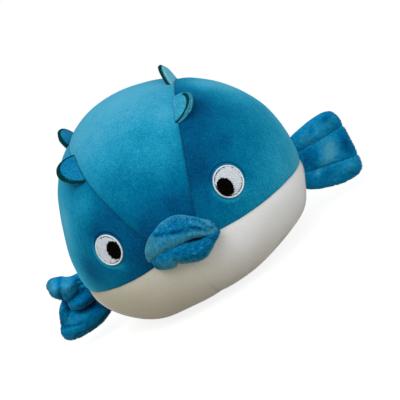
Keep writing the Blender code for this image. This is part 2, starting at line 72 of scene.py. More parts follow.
# Broad unevenness of the stuffed body: place, radius and height
BULGES = (
    ((-0.0860, -0.0180, 0.0360), 0.0300, -0.0036),
    ((-0.0200, -0.0020, 0.0950), 0.0380, 0.0030),
    ((0.0850, 0.0060, 0.0420), 0.0400, 0.0022),
    ((0.0900, -0.0060, -0.0330), 0.0100, -0.0036),
    ((0.0520, -0.0340, -0.0560), 0.0170, -0.0042),
    ((-0.0420, -0.0470, -0.0550), 0.0220, 0.0028),
)
REST_SURROUND = 0.0100

# Finer relief of the sewn skin
SEAM_ROLL_RADIUS = 0.0003
PUCKER_HEIGHT = 0.00035
PUCKER_REACH = 0.0060
LUMP_HEIGHT = 0.0007
LUMP_REACH = 0.0200
SEAM_SHADE_HALF_WIDTH = 0.0009

# Lips
LIP_HALF_WIDTH = 0.0242
LIP_MIDDLE = 0.0016
LIP_REACH = 0.0125
UPPER_LIP_HEIGHT = 0.0153
LOWER_LIP_HEIGHT = 0.0146
MOUTH_OPENING = 0.0052
MOUTH_OPENING_PLACE = 0.0096
MOUTH_OPENING_HALF_WIDTH = 0.0080
LIP_CREASE_DEPTH = 0.0030
LIP_CREASE_PLACE = -0.0085
LIP_CREASE_HALF_WIDTH = 0.0018

# Fins
FIN_ROOT_LEVEL = -0.0190
FIN_ROOT_SETBACK = 0.0080
FIN_ROOT_HALF_HEIGHT = 0.0210
FIN_TIP_HALF_HEIGHT = 0.0312
FIN_DROOP = 0.0068
FIN_THICKNESS = 0.0080
FIN_RIM_THICKNESS = 0.0030
FIN_CORNER_FULLNESS = 5.5
FIN_STITCH_PLACE = 0.40
FIN_STITCH_PINCH = 0.55
FIN_STITCH_HALF_WIDTH = 0.0011
LEFT_FIN_ROOT_HALF_HEIGHT = 0.0200
LEFT_FIN_LENGTH = 0.0405
LEFT_FIN_SLANT = 0.0015
LEFT_FIN_SWEEP = math.radians(15.0)
RIGHT_FIN_LENGTH = 0.0340
RIGHT_FIN_LOBE = 0.0115
RIGHT_FIN_NOTCH = 0.0048
RIGHT_FIN_TIP_POINT = 0.0026
RIGHT_FIN_GATHER = 0.36
RIGHT_FIN_FULLNESS = 0.0024
RIGHT_FIN_TIP_HALF_HEIGHT = 0.0285
RIGHT_FIN_SWEEP = math.radians(2.0)
TAIL_ROOT_LEVEL = -0.0080
TAIL_ROOT_HALF_HEIGHT = 0.0190
TAIL_TIP_HALF_HEIGHT = 0.0280
TAIL_LENGTH = 0.0400
TAIL_DROOP = 0.0020
FIN_STITCHES = 17
FIN_THREAD_RADIUS = 0.0003
FIN_EDGE_LOOPS = 64
FIN_EDGE_THREAD_RADIUS = 0.00035

# Spikes
SPIKE_BASE_WIDTH = 0.0270
SPIKE_HEIGHT = 0.0138
SPIKE_THICKNESS = 0.0046
SPIKE_RIM_THICKNESS = 0.0030
FRONT_SPIKE_PLACE = math.radians(55.0)
REAR_SPIKE_PLACE = math.radians(90.5)
LEFT_REAR_SPIKE_PLACE = math.radians(86.0)
FRONT_SPIKE_LEAN = math.radians(50.0)
LEFT_REAR_SPIKE_LEAN = math.radians(-35.0)
RIGHT_REAR_SPIKE_LEAN = math.radians(-12.0)
RIGHT_FRONT_SPIKE_LEAN = math.radians(41.0)
SPIKE_EDGE_LOOPS = 46
SPIKE_EDGE_THREAD_RADIUS = 0.00042

# Name, side, place, lean, twist, shift, size, tone and, for a bound rim, how far its thread goes over it
SPIKES = (
    ("front_left_spike", 1.0, FRONT_SPIKE_PLACE, FRONT_SPIKE_LEAN, 0.0, 0.0, 1.0, 0.80, None),
    ("front_right_spike", -1.0, FRONT_SPIKE_PLACE, RIGHT_FRONT_SPIKE_LEAN, -0.15, 0.0, 1.05, 0.54, -0.0002),
    ("rear_left_spike", 1.0, LEFT_REAR_SPIKE_PLACE, LEFT_REAR_SPIKE_LEAN, 0.10, -0.0018, 0.97, 1.0, 0.0008),
    ("rear_right_spike", -1.0, REAR_SPIKE_PLACE, RIGHT_REAR_SPIKE_LEAN, -0.26, 0.0, 0.82, 0.62, 0.0006),
)

# Eyes
EYE_RADIUS = 0.0110
LEFT_EYE_PLACE = (0.0475, 0.0114)
RIGHT_EYE_PLACE = (-0.0458, 0.0127)
PUPIL_HALF_WIDTH = 0.0058
PUPIL_HALF_HEIGHT = 0.0068
LEFT_PUPIL_PLACE = (0.0044, -0.0017)
RIGHT_PUPIL_PLACE = (0.0046, -0.0013)
EYE_ROW_SPACING = 0.00042
EYE_STITCH = 0.0034
PUPIL_STITCH = 0.0030
EYE_STITCH_TURN = math.radians(62.0)
PUPIL_STITCH_TURN = math.radians(-35.0)
EYE_INSET = 0.0009
PUPIL_INSET = 0.0003
RING_WIDTH = 0.0011
RING_OVERHANG = 0.0001
RING_SPACING = 0.00034
BACKING_COLUMNS = 64
BACKING_LIFT = 0.00005

# Camera, about the body's middle
CAMERA_AZIMUTH = math.radians(9.6)
CAMERA_ELEVATION = math.radians(10.0)
CAMERA_ROLL = math.radians(-32.3)
CAMERA_DISTANCE = 0.65
CAMERA_LENS = 77.3
FRAMING_RIGHT = 0.01354
FRAMING_UP = 0.00393

# Rows and columns of points in the grids that the skins are laid on
PANEL_GRID = (161, 61)
LIP_GRID = (121, 96)
FIN_GRID = (61, 101)
SPIKE_GRID = (37, 25)

# Pile: tufts in all, their length and width, how many share a clump and how far they are pulled to it
LIP_PILE = {"count": 36000, "length": 0.0023, "width": 0.00037, "share": 14, "pull": 0.72}
FIN_PILE = {"count": 30000, "length": 0.0015, "width": 0.00040, "share": 12, "pull": 0.35}
TAIL_PILE = dict(FIN_PILE, count=12000)

# Floor
FLOOR_HALF_WIDTH = 3.0
FLOOR_LEVEL = -0.0002

# Lamps: name, place about the body's middle, size, power and colour
LAMPS = (
    ("key", (-0.10, -0.75, 0.85), 0.7, 5.0, (1.0, 1.0, 1.0)),
    ("fill", (0.85, -0.65, 0.10), 0.8, 3.3, (0.94, 0.98, 1.0)),
)

FRONT = np.array((0.0, -1.0, 0.0))
UP = np.array((0.0, 0.0, 1.0))
SIDEWAYS = np.array((1.0, 0.0, 0.0))
RAY_STEPS = 40
THREAD_SIDES = 5


def body_middle():
    """The body's middle in the frame, taken from the filling, which is centred on it."""
    low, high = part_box("stuffing")
    return np.array((0.5 * (low.x + high.x), 0.5 * (low.y + high.y), -REST_LEVEL))


MIDDLE = body_middle()


# Small mathematics


def bell(distance, half_width):
    return np.exp(-((distance / half_width) ** 2))


def ramp(value, low, high):
    """0 below low and 1 above high, smooth in between."""
    share = np.clip((value - low) / (high - low), 0.0, 1.0)
    return share * share * (3.0 - 2.0 * share)


def signed_power(value, power):
    return np.sign(value) * np.abs(value) ** power


def unit(vectors):
    return vectors / np.maximum(np.linalg.norm(vectors, axis=-1, keepdims=True), 1e-12)


def dot(a, b):
    return np.sum(a * b, axis=-1, keepdims=True)


def smooth_noise(points, scale, seed=0.0):
    """Smooth noise from about -1 to 1 at each point, with features of about 1 / scale."""
    shifted = points * scale + seed
    return np.array([noise.noise(point) for point in shifted.tolist()])


def distance_to_path(points, path):
    """Distance of flat points from a line through the path's points."""
    nearest = np.full(len(points), np.inf)
    for start, end in zip(path, path[1:]):
        start = np.array(start)
        along = np.array(end) - start
        share = np.clip((points - start) @ along / (along @ along), 0.0, 1.0)
        nearest = np.minimum(nearest, np.linalg.norm(points - start - share[:, None] * along, axis=1))
    return nearest


# The body's surface


def level_at(points):
    """1 on the body's surface and in proportion less inside it."""
    around = np.hypot(points[..., 0] / HALF_WIDTH, points[..., 1] / HALF_DEPTH)
    above = np.hypot(around, points[..., 2] / CROWN_HEIGHT)
    depth = np.maximum(-points[..., 2] / BELLY_DEPTH, 0.0)
    below = (around**BELLY_FULLNESS + depth**BELLY_FULLNESS) ** (1.0 / BELLY_FULLNESS)
    level = np.where(points[..., 2] >= 0.0, above, below)
    even = points / level[..., None]
    above_rest = ramp(even[..., 2], REST_LEVEL, REST_LEVEL + REST_SURROUND)
    fuller = np.ones_like(level)
    for place, radius, height in BULGES:
        away = np.linalg.norm(even - np.array(place), axis=-1)
        fuller = fuller + above_rest * height / math.hypot(*place) * bell(away, radius)
    return level / fuller


def on_surface(points):
    found = points / level_at(points)[..., None]
    found[..., 2] = np.maximum(found[..., 2], REST_LEVEL)
    return found


def normal_at(points):
    x, y, z = points[..., 0], points[..., 1], points[..., 2]
    above = np.stack((x / HALF_WIDTH**2, y / HALF_DEPTH**2, z / CROWN_HEIGHT**2), -1)
    around = np.hypot(x / HALF_WIDTH, y / HALF_DEPTH)
    share = around ** (BELLY_FULLNESS - 2.0)
    depth = np.maximum(-z / BELLY_DEPTH, 0.0) ** (BELLY_FULLNESS - 1.0)
    below = np.stack((share * x / HALF_WIDTH**2, share * y / HALF_DEPTH**2, -depth / BELLY_DEPTH), -1)
    slope = unit(np.where((z >= 0.0)[..., None], above, below))
    return np.where((z <= REST_LEVEL + 1e-7)[..., None], -UP, slope)


def reach_along(start, direction):
    """How far the surface lies from points inside the body."""
    start, direction = np.broadcast_arrays(start, direction)
    near = np.zeros(start.shape[:-1])
    far = np.full(start.shape[:-1], 2.0 * max(HALF_WIDTH, HALF_DEPTH, CROWN_HEIGHT))
    for _ in range(RAY_STEPS):
        middle = 0.5 * (near + far)
        inside = level_at(start + direction * middle[..., None]) < 1.0
        near = np.where(inside, middle, near)
        far = np.where(inside, far, middle)
    return near[..., None]


def seam_distance(points):
    x, z = np.abs(points[..., 0]), points[..., 2]
    from_belly_seam = np.abs(z + BELLY_SEAM_DROP)
    across = np.abs(x - TOP_PANEL_HALF_WIDTH - TOP_PANEL_FLARE * z) / math.hypot(1.0, TOP_PANEL_FLARE)
    return np.minimum(from_belly_seam, np.where(z < -BELLY_SEAM_DROP, x, across))


def raised_at_mouth(points):
    lift = bell(points[..., 0], MOUTH_RISE_HALF_WIDTH) * bell(points[..., 1] + HALF_DEPTH, MOUTH_RISE_DEPTH)
    lift = lift * bell(points[..., 2] + BELLY_SEAM_DROP, MOUTH_RISE_DEPTH)
    return points + UP * (MOUTH_RISE * lift)[..., None]


def seam_depth(distance):
    """The skin is drawn in gently towards a seam and rolls into it at the edge."""
    drawn = SEAM_DIP * np.maximum(0.0, 1.0 - distance / SEAM_DIP_REACH) ** 2
    inner = SEAM_ROLL_RADIUS - np.minimum(distance, SEAM_ROLL_RADIUS)
    rolled = SEAM_ROLL_RADIUS - np.sqrt(SEAM_ROLL_RADIUS**2 - inner**2)
    return drawn + rolled


def belly_seam_ease(points):
    """The belly's middle seam is hardly drawn in, least of all near the lips."""
    under = ramp(-BELLY_SEAM_DROP - points[..., 2], 0.0, 0.010)
    under = under * (1.0 - ramp(np.abs(points[..., 0]), 0.010, 0.016))
    near_lips = 1.0 - ramp(-points[..., 2], 0.036, 0.052)
    return 1.0 - under * (0.55 + 0.35 * near_lips)


def sewn_skin(points):
    """Places on the sewn skin for points of the plain form, and their distances from the nearest seam."""
    distance = seam_distance(points)
    placed = on_surface(raised_at_mouth(points))
    normals = normal_at(placed)
    lifted = ramp(placed[..., 2], REST_LEVEL, REST_LEVEL + 0.010)
    lumps = smooth_noise(placed, 24.0) + 0.5 * smooth_noise(placed, 55.0, 7.3)
    puckers = smooth_noise(placed, 160.0, 3.1) * bell(distance, PUCKER_REACH)
    relief = LUMP_HEIGHT * lumps * ramp(distance, 0.0, LUMP_REACH) + PUCKER_HEIGHT * puckers
    height = relief * lifted - seam_depth(distance) * belly_seam_ease(placed)
    return placed + normals * height[..., None], distance


def eye_frame(place):
    """Middle of an eye on the skin, with the ways towards the nose and up."""
    inside = np.array((place[0], 0.0, place[1]))
    middle = inside + FRONT * reach_along(inside, FRONT)
    normal = normal_at(middle)
    up = unit(UP - normal * np.dot(UP, normal))
    towards_nose = unit(np.cross(normal, up))
    if towards_nose[0] * place[0] > 0.0:
        towards_nose = -towards_nose
    return middle, towards_nose, up


# Making objects


def add_object(name, data):
    made = bpy.data.objects.new(name, data)
    bpy.context.scene.collection.objects.link(made)
    return made


def make_object(name, points, faces, finish, properties=None):
    """An object of points about the body's middle; each property holds one value per point."""
    mesh = bpy.data.meshes.new(name)
    mesh.from_pydata((points + MIDDLE).tolist(), [], faces)
    for key, values in (properties or {}).items():
        attribute = mesh.attributes.new(key, "FLOAT", "POINT")
        attribute.data.foreach_set("value", np.asarray(values, np.float32))
    mesh.materials.append(finish)
    mesh.shade_smooth()
    made = add_object(name, mesh)
    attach(made, "root")
    return made


def grid_faces(rows, columns, wrap=False):
    """Faces between the points of a grid stored row by row; wrap joins the last column to the first."""
    index = np.arange(rows * columns).reshape(rows, columns)
    beside = np.roll(index, -1, axis=1) if wrap else index[:, 1:]
    first = index if wrap else index[:, :-1]
    return np.stack((first[:-1], first[1:], beside[1:], beside[:-1]), -1).reshape(-1, 4)


def tidy_mesh(made, merge=1e-7):
    """Merges points that meet and faces everything outwards, from the body's middle if it is open."""
    shape = bmesh.new()
    shape.from_mesh(made.data)
    bmesh.ops.remove_doubles(shape, verts=shape.verts, dist=merge)
    bmesh.ops.recalc_face_normals(shape, faces=shape.faces)
    middle = Vector(MIDDLE)
    if any(edge.is_boundary for edge in shape.edges):
        outward = sum(face.normal.dot(face.calc_center_median() - middle) for face in shape.faces)
    else:
        outward = shape.calc_volume(signed=True)
    if outward < 0.0:
        bmesh.ops.reverse_faces(shape, faces=shape.faces)
    shape.to_mesh(made.data)
    shape.free()


def add_fabric(made):
    solidify = made.modifiers.new("fabric", "SOLIDIFY")
    solidify.thickness = FABRIC_THICKNESS
    solidify.offset = -1.0


def threads(name, paths, out, radius, finish, properties=None):
    """Threads along paths (thread, point, 3), each a closed tube; out points away from the skin."""
    count, steps = paths.shape[:2]
    sides = THREAD_SIDES
    along = unit(np.gradient(paths, axis=1))
    side = unit(np.cross(along, out))
    rise = unit(np.cross(side, along))
    turn = np.arange(sides) * (2.0 * math.pi / sides)
    rings = side[:, :, None] * np.cos(turn)[:, None] + rise[:, :, None] * np.sin(turn)[:, None]
    taper = np.ones(steps)
    taper[[0, -1]] = 0.55
    points = paths[:, :, None] + rings * (radius * taper)[None, :, None, None]
    faces = []
    tube = grid_faces(steps, sides, wrap=True)
    caps = [list(range(sides)), list(range(steps * sides - 1, (steps - 1) * sides - 1, -1))]
    for k in range(count):
        start = k * steps * sides
        faces += (tube + start).tolist()
        faces += [[start + i for i in cap] for cap in caps]
    values = {key: np.repeat(value, steps * sides) for key, value in (properties or {}).items()}
    return make_object(name, points.reshape(-1, 3), faces, finish, values)


# Pile


def vertex_normals(points, faces):
    """Normals of a grid's points, from its four-sided faces."""
    a, b, c, d = (points[faces[:, k]] for k in range(4))
    across = np.cross(c - a, d - b)
    normals = np.zeros_like(points)
    for k in range(4):
        np.add.at(normals, faces[:, k], across)
    return unit(normals)


def scatter(points, faces, count, random):
    """Random places on a skin, even by area: the four corners and weights of each."""
    a, b, c, d = (points[faces[:, k]] for k in range(4))
    area = 0.5 * np.linalg.norm(np.cross(c - a, d - b), axis=1)
    chosen = random.choice(len(faces), count, p=area / area.sum())
    s, t = random.random(count), random.random(count)
    weights = np.stack(((1 - s) * (1 - t), s * (1 - t), s * t, (1 - s) * t), 1)
    return faces[chosen], weights


def blend_corners(values, corners, weights):
    return np.einsum("nk,nk...->n...", weights, values[corners])


def pile_on(skin, comb, pile, seed):
    """Tufts of pile as slim three-sided points, combed over a skin and gathered into clumps.

    skin holds points, faces, normals, nap and cover; comb gives the direction of lay at each of its points.
    """
    count = pile["count"]
    groups = max(1, count // pile["share"])
    random = np.random.default_rng(seed)
    corners, weights = scatter(skin["points"], skin["faces"], count, random)
    roots = blend_corners(skin["points"], corners, weights)
    normals = unit(blend_corners(skin["normals"], corners, weights))
    lay = blend_corners(comb, corners, weights)
    nap = blend_corners(skin["nap"], corners, weights)
    cover = blend_corners(skin["cover"], corners, weights)
    lengths = pile["length"] * cover * random.uniform(0.75, 1.15, count)
    heading = unit(normals + lay + 0.16 * random.standard_normal((count, 3)))
    tips = roots + heading * lengths[:, None]
    tree = kdtree.KDTree(groups)
    for k in range(groups):
        tree.insert(tips[k], k)
    tree.balance()
    nearest = np.array([tree.find(tip)[1] for tip in tips.tolist()])
    tips = tips + (tips[nearest] - tips) * (pile["pull"] * random.uniform(0.5, 1.0, count))[:, None]
    tone = random.standard_normal(groups)[nearest]
    side = unit(np.cross(tips - roots, random.standard_normal((count, 3))))
    other = unit(np.cross(tips - roots, side))
    base = []
    for k in range(3):
        turn = 2.0 * math.pi * k / 3.0
        base.append(roots + (side * math.cos(turn) + other * math.sin(turn)) * (0.5 * pile["width"]))
    points = np.stack((*base, tips), 1).reshape(-1, 3)
    corner = 4 * np.arange(count)[:, None]
    faces = np.concatenate([corner + np.array(f) for f in ((0, 1, 3), (1, 2, 3), (2, 0, 3), (2, 1, 0))])
    return {
        "points": points,
        "faces": faces.tolist(),
        "normals": np.repeat(unit(normals + 0.55 * heading), 4, axis=0),
        "nap": np.repeat(nap, 4),
        "tone": np.repeat(tone, 4),
        "tip": np.tile((0.0, 0.0, 0.0, 1.0), count),
    }


def piled_object(name, skin, pile, finish):
    """A skin and its pile as one object, the pile shaded with the soft form under it."""
    start = len(skin["points"])
    points = np.concatenate((skin["points"], pile["points"]))
    faces = skin["faces"].tolist() + (np.array(pile["faces"]) + start).tolist()
    zeros = np.zeros(start)
    properties = {
        "nap": np.concatenate((skin["nap"], pile["nap"])),
        "tone": np.concatenate((zeros, pile["tone"])),
        "tip": np.concatenate((zeros, pile["tip"])),
    }
    made = make_object(name, points, faces, finish, properties)
    normals = np.concatenate((skin["normals"], pile["normals"]))
    made.data.normals_split_custom_set_from_vertices(normals.tolist())
    return made


# Materials


class Finish:
    """A fabric's material, built up as a chain of nodes that ends in one shader."""

    def __init__(self, name, roughness, specular, sheen, sheen_roughness, sheen_tint=(1.0, 1.0, 1.0)):
        self.material = bpy.data.materials.new(name)
        self.material.use_nodes = True
        self.tree = self.material.node_tree
        self.shader = self.tree.nodes["Principled BSDF"]
        for key, value in (
            ("Roughness", roughness),
            ("Specular IOR Level", specular),
            ("Sheen Weight", sheen),
            ("Sheen Roughness", sheen_roughness),
            ("Sheen Tint", (*sheen_tint, 1.0)),
        ):
            self.shader.inputs[key].default_value = value
        self.place = self.node("ShaderNodeTexCoord").outputs["Object"]

    def node(self, kind, **settings):
        made = self.tree.nodes.new(kind)
        for key, value in settings.items():
            setattr(made, key, value)
        return made

    def join(self, source, target):
        self.tree.links.new(source, target)

    def property(self, name):
        return self.node("ShaderNodeAttribute", attribute_name=name).outputs["Fac"]

    def math(self, operation, first, second=0.0):
        made = self.node("ShaderNodeMath", operation=operation)
        for k, value in enumerate((first, second)):
            if isinstance(value, (int, float)):
                made.inputs[k].default_value = value
            else:
                self.join(value, made.inputs[k])
        return made.outputs["Value"]

    def noise(self, scale, detail=2.0, roughness=0.5, stretch=(1.0, 1.0, 1.0), shift=0.0):
        mapping = self.node("ShaderNodeMapping")
        mapping.inputs["Scale"].default_value = stretch
        mapping.inputs["Location"].default_value = (shift, shift, shift)
        self.join(self.place, mapping.inputs["Vector"])
        made = self.node("ShaderNodeTexNoise")
        made.inputs["Scale"].default_value = scale
        made.inputs["Detail"].default_value = detail
        made.inputs["Roughness"].default_value = roughness
        self.join(mapping.outputs["Vector"], made.inputs["Vector"])
        return made.outputs["Fac"]

    def centred(self, value, amount):
        """A 0 to 1 value as one about 0, scaled."""
        return self.math("MULTIPLY", self.math("SUBTRACT", value, 0.5), amount)

    def mottled(self, tone, patterns):
        """A tone with noise added; each pattern is an amount and the values of its noise."""
        for amount, *pattern in patterns:
            tone = self.math("ADD", tone, self.centred(self.noise(*pattern), amount))
        return tone

    def vector(self, operation, output, first, second=None):
        """A step of arithmetic on a joined vector and, where there is one, a fixed vector."""
        made = self.node("ShaderNodeVectorMath", operation=operation)
        self.join(first, made.inputs[0])
        if second is not None:
            made.inputs[1].default_value = second
        return made.outputs[output]

    def arc(self, place, radius, half_width, side, amount):
        """A thin arc about a place, strongest on the side named by a direction and gone on the other."""
        away = self.vector("SUBTRACT", "Vector", self.place, place)
        off = self.math("ABSOLUTE", self.math("SUBTRACT", self.vector("LENGTH", "Value", away), radius))
        line = self.math("MAXIMUM", self.math("SUBTRACT", 1.0, self.math("DIVIDE", off, half_width)), 0.0)
        shown = self.math("DIVIDE", self.vector("DOT_PRODUCT", "Value", away, side), radius)
        shown = self.math("MINIMUM", self.math("MAXIMUM", shown, 0.0), 1.0)
        return self.math("MULTIPLY", self.math("MULTIPLY", line, shown), amount)

    def colours(self, position, stops):
        """A colour ramp read at a position; stops are (position, colour)."""
        made = self.node("ShaderNodeValToRGB")
        elements = made.color_ramp.elements
        while len(elements) < len(stops):
            elements.new(0.5)
        for element, (at, colour) in zip(elements, stops):
            element.position = at
            element.color = (*colour, 1.0)
        self.join(position, made.inputs["Fac"])
        return made.outputs["Color"]

    def scaled(self, colour, factor):
        """A colour made lighter or darker by a factor."""
        made = self.node("ShaderNodeVectorMath", operation="SCALE")
        self.join(colour, made.inputs[0])
        self.join(factor, made.inputs["Scale"])
        return made.outputs["Vector"]

    def finish(self, colour, height=None, depth=0.0002, strength=0.5):
        self.join(colour, self.shader.inputs["Base Color"])
        if height is not None:
            bump = self.node("ShaderNodeBump")
            bump.inputs["Distance"].default_value = depth
            bump.inputs["Strength"].default_value = strength
            self.join(height, bump.inputs["Height"])
            self.join(bump.outputs["Normal"], self.shader.inputs["Normal"])
        return self.material


def velour(
    name, stops, blotch=0.26, grain=0.80, sheen=0.8, sheen_tint=(0.12, 0.70, 1.0), seam_shade=0.22, arcs=()
):
    """Short brushed pile: its tone follows the nap and the painted light and shade carried with it, with
    soft blotches, fine streaks and a fine grain; the seam property darkens it where the pile parts along a
    seam and, on the spikes, as a painted shadow along the foot.
    """
    made = Finish(name, 0.9, 0.04, sheen, 0.30, sheen_tint)
    patterns = (
        (blotch, 45.0, 3.0, 0.55),
        (0.6 * blotch, 230.0, 3.0, 0.65, (1.0, 1.0, 0.5), 2.0),
        (0.18 * grain, 480.0, 2.0, 0.7, (1.0, 1.0, 0.6), 5.0),
        (grain, 950.0, 3.0, 0.8),
    )
    tone = made.mottled(made.property("nap"), patterns)
    for arc in arcs:
        tone = made.math("ADD", tone, made.arc(*arc))
    colour = made.colours(tone, stops)
    # The seam property darkens the colour where the pile parts along panel seams, and as a painted shadow
    # along each spike's foot.
    parted_pile_and_foot_shadow = made.math("SUBTRACT", 1.0, made.math("MULTIPLY", made.property("seam"), seam_shade))
    return made.finish(made.scaled(colour, parted_pile_and_foot_shadow), made.noise(1300.0, 3.0, 0.65), 0.0003, 0.35)


def pile_finish(name, stops, shaded_root_brightness, clump_tone, streaks):
    """Long pile: a painted shade deep in the pile makes it darker at the roots and on the skin under the
    tufts;
    each clump a little different.
    """
    made = Finish(name, 0.85, 0.05, 0.25, 0.35, (0.3, 0.8, 1.0))
    tone = made.math("ADD", made.property("nap"), made.math("MULTIPLY", made.property("tone"), clump_tone))
    tone = made.mottled(tone, ((0.20, 150.0, 3.0, 0.6), (streaks, 420.0, 3.0, 0.7, (0.5, 1.0, 1.0))))
    colour = made.colours(tone, stops)
    # Painted shade: the roots and the skin beneath the pile are darkened to the given brightness.
    share = made.math("ADD", made.math("MULTIPLY", made.property("tip"), 1.0 - shaded_root_brightness), shaded_root_brightness)
    return made.finish(made.scaled(colour, share))


def thread_finish(name, dark, light, roughness, sheen, specular=0.2):
    """Twisted thread, with its own slight change of tone from stitch to stitch."""
    made = Finish(name, roughness, specular, sheen, 0.3)
    tone = made.math("ADD", made.centred(made.noise(700.0, 2.0), 0.8), 0.5)
    tone = made.math("ADD", tone, made.math("MULTIPLY", made.property("tone"), 0.15))
    colour = made.colours(tone, ((0.0, dark), (1.0, light)))
    return made.finish(colour, made.noise(2500.0, 2.0), 0.0001, 0.3)


def fibre_finish(name):
    """Loose polyester filling."""
    made = Finish(name, 0.95, 0.2, 0.4, 0.5)
    strands = made.noise(300.0, 5.0, 0.7, (1.0, 4.0, 1.0))
    colour = made.colours(strands, ((0.3, (0.62, 0.62, 0.61)), (0.7, (0.86, 0.86, 0.85))))
    return made.finish(colour, strands, 0.0010, 0.8)


BLUES = (
    (0.00, (0.000, 0.045, 0.130)),
    (0.25, (0.000, 0.098, 0.240)),
    (0.50, (0.000, 0.190, 0.360)),
    (0.75, (0.014, 0.335, 0.550)),
    (1.00, (0.095, 0.460, 0.670)),
)
# Belly whites: a warm painted shade at 0 up to a lit bluish white at 1.
SHADED_TO_LIT_WHITES = ((0.00, (0.58, 0.52, 0.38)), (0.50, (0.70, 0.68, 0.60)), (1.00, (0.88, 0.89, 0.92)))
CROWN_VELOUR = velour("crown_velour", BLUES)


def eye_arc(place, radius, half_width, nose_share, up_share, amount):
    """An arc in the velour round an eye, on the side towards the nose and up by the given shares."""
    middle, nose, up = eye_frame(place)
    side = unit(nose * nose_share + up * up_share)
    return tuple(middle + MIDDLE), radius, half_width, tuple(side), amount


# Painted shadow: the thin dark arcs above the eyes are shade in the crease where the velour puckers round
# the embroidery; the broader pale arcs lighten the velour on the eyes' lower sides.
EYE_SHADOW_AND_PALE_ARCS = (
    eye_arc(LEFT_EYE_PLACE, 0.0131, 0.0004, -0.6, 1.0, -2.2),
    eye_arc(LEFT_EYE_PLACE, 0.0128, 0.0022, 0.6, -1.0, 0.25),
    eye_arc(RIGHT_EYE_PLACE, 0.0127, 0.0009, 0.2, 1.0, -0.8),
    eye_arc(RIGHT_EYE_PLACE, 0.0134, 0.0022, -1.0, -0.45, 0.40),
)
SIDE_VELOUR = velour("side_velour", BLUES, arcs=EYE_SHADOW_AND_PALE_ARCS)
BELLY_VELOUR = velour("belly_velour", SHADED_TO_LIT_WHITES, 0.16, 0.50, 1.0, (1.0, 0.97, 0.92), 0.25)
SPIKE_BLUES = (
    (0.00, (0.000, 0.045, 0.150)),
    (0.50, (0.000, 0.180, 0.400)),
    (0.80, (0.030, 0.380, 0.580)),
    (1.00, (0.200, 0.600, 0.760)),
)
SPIKE_VELOUR = velour("spike_velour", SPIKE_BLUES, seam_shade=0.75)
FIN_BLUES = (
    (0.00, (0.000, 0.080, 0.240)),
    (0.25, (0.000, 0.190, 0.500)),
    (0.50, (0.000, 0.370, 0.760)),
    (0.75, (0.045, 0.525, 0.920)),
    (1.00, (0.140, 0.700, 1.000)),
)
FIN_PLUSH = pile_finish("fin_plush", FIN_BLUES, 0.80, 0.06, 0.32)
LIP_PLUSH = pile_finish("lip_plush", FIN_BLUES, 0.52, 0.13, 0.60)
WHITE_THREAD = thread_finish("white_thread", (0.78, 0.87, 1.00), (0.98, 1.00, 1.00), 0.45, 0.2)
RING_THREAD = thread_finish("ring_thread", (0.88, 0.94, 1.00), (0.97, 1.00, 1.00), 0.40, 0.3)
BLACK_THREAD = thread_finish("black_thread", (0.0, 0.0, 0.0), (0.006, 0.004, 0.002), 0.60, 0.0, 0.03)
EDGE_THREAD = thread_finish("edge_thread", (0.000, 0.022, 0.024), (0.004, 0.085, 0.075), 0.80, 0.0, 0.03)
FIN_EDGE_THREAD = thread_finish("fin_edge_thread", (0.001, 0.07, 0.11), (0.015, 0.19, 0.26), 0.70, 0.1)
SEAM_THREAD = thread_finish("seam_thread", (0.001, 0.040, 0.080), (0.004, 0.090, 0.160), 0.60, 0.1)
FILLING = fibre_finish("polyester_filling")


# Body panels


def spaced(position):
    return 0.5 * (1.0 + np.sin(0.5 * math.pi * position))


def flat_grid(along, across):
    """Every pair of two rows of positions, as two flat arrays."""
    return [positions.ravel() for positions in np.meshgrid(along, across, indexing="ij")]


HALF_GAP = 0.5 * SEAM_GAP
PANEL_FLOOR = HALF_GAP - BELLY_SEAM_DROP


def top_seam_edge(gap):
    """Half the top panel's width at the panels' lowest level, with a gap added across the seam."""
    return TOP_PANEL_HALF_WIDTH + TOP_PANEL_FLARE * PANEL_FLOOR + gap * math.hypot(1.0, TOP_PANEL_FLARE)


def top_panel_points(along, across):
    angle = 0.5 * math.pi * (1.0 + along)
    side = 2.0 * spaced(across) - 1.0
    direction = np.stack((side * TOP_PANEL_FLARE * np.sin(angle), -np.cos(angle), np.sin(angle)), -1)
    start = (side * top_seam_edge(-HALF_GAP), np.zeros_like(side), np.full_like(side, PANEL_FLOOR))
    start = np.stack(start, -1)
    return start + direction * reach_along(start, direction)


def fan_points(start, lift, along, side):
    turn = 0.5 * math.pi * along
    outward = np.cos(turn)
    direction = np.stack((side * outward * np.cos(lift), np.sin(turn), outward * np.sin(lift)), -1)
    return start + direction * reach_along(start, direction)


def side_panel_points(along, across, side):
    lift = math.atan2(1.0, TOP_PANEL_FLARE) * spaced(across)
    return fan_points(np.array((side * top_seam_edge(HALF_GAP), 0.0, PANEL_FLOOR)), lift, along, side)


def belly_panel_points(along, across, side):
    start = np.array((side * HALF_GAP, 0.0, -HALF_GAP - BELLY_SEAM_DROP))
    return fan_points(start, 0.5 * math.pi * (spaced(across) - 1.0), along, side)


def brushed(points, level, slope, patches):
    """Tone from 0, deep, to 1, pale: an even slope over a panel, then patches on it. On the crown and sides
    these follow the nap; on the belly they are painted shade and a painted highlight.

    The slope is per 100 mm along x, y and z; the rear of the fish is toned like its front.
    """
    x, y, z = (10.0 * points[:, k] for k in range(3))
    tone = level + slope[0] * x - slope[1] * np.abs(y) + slope[2] * z
    for place, radius, amount in patches:
        tone = tone + amount * bell(np.linalg.norm(points - np.array(place), axis=1), radius)
    return np.clip(tone, 0.0, 1.0)


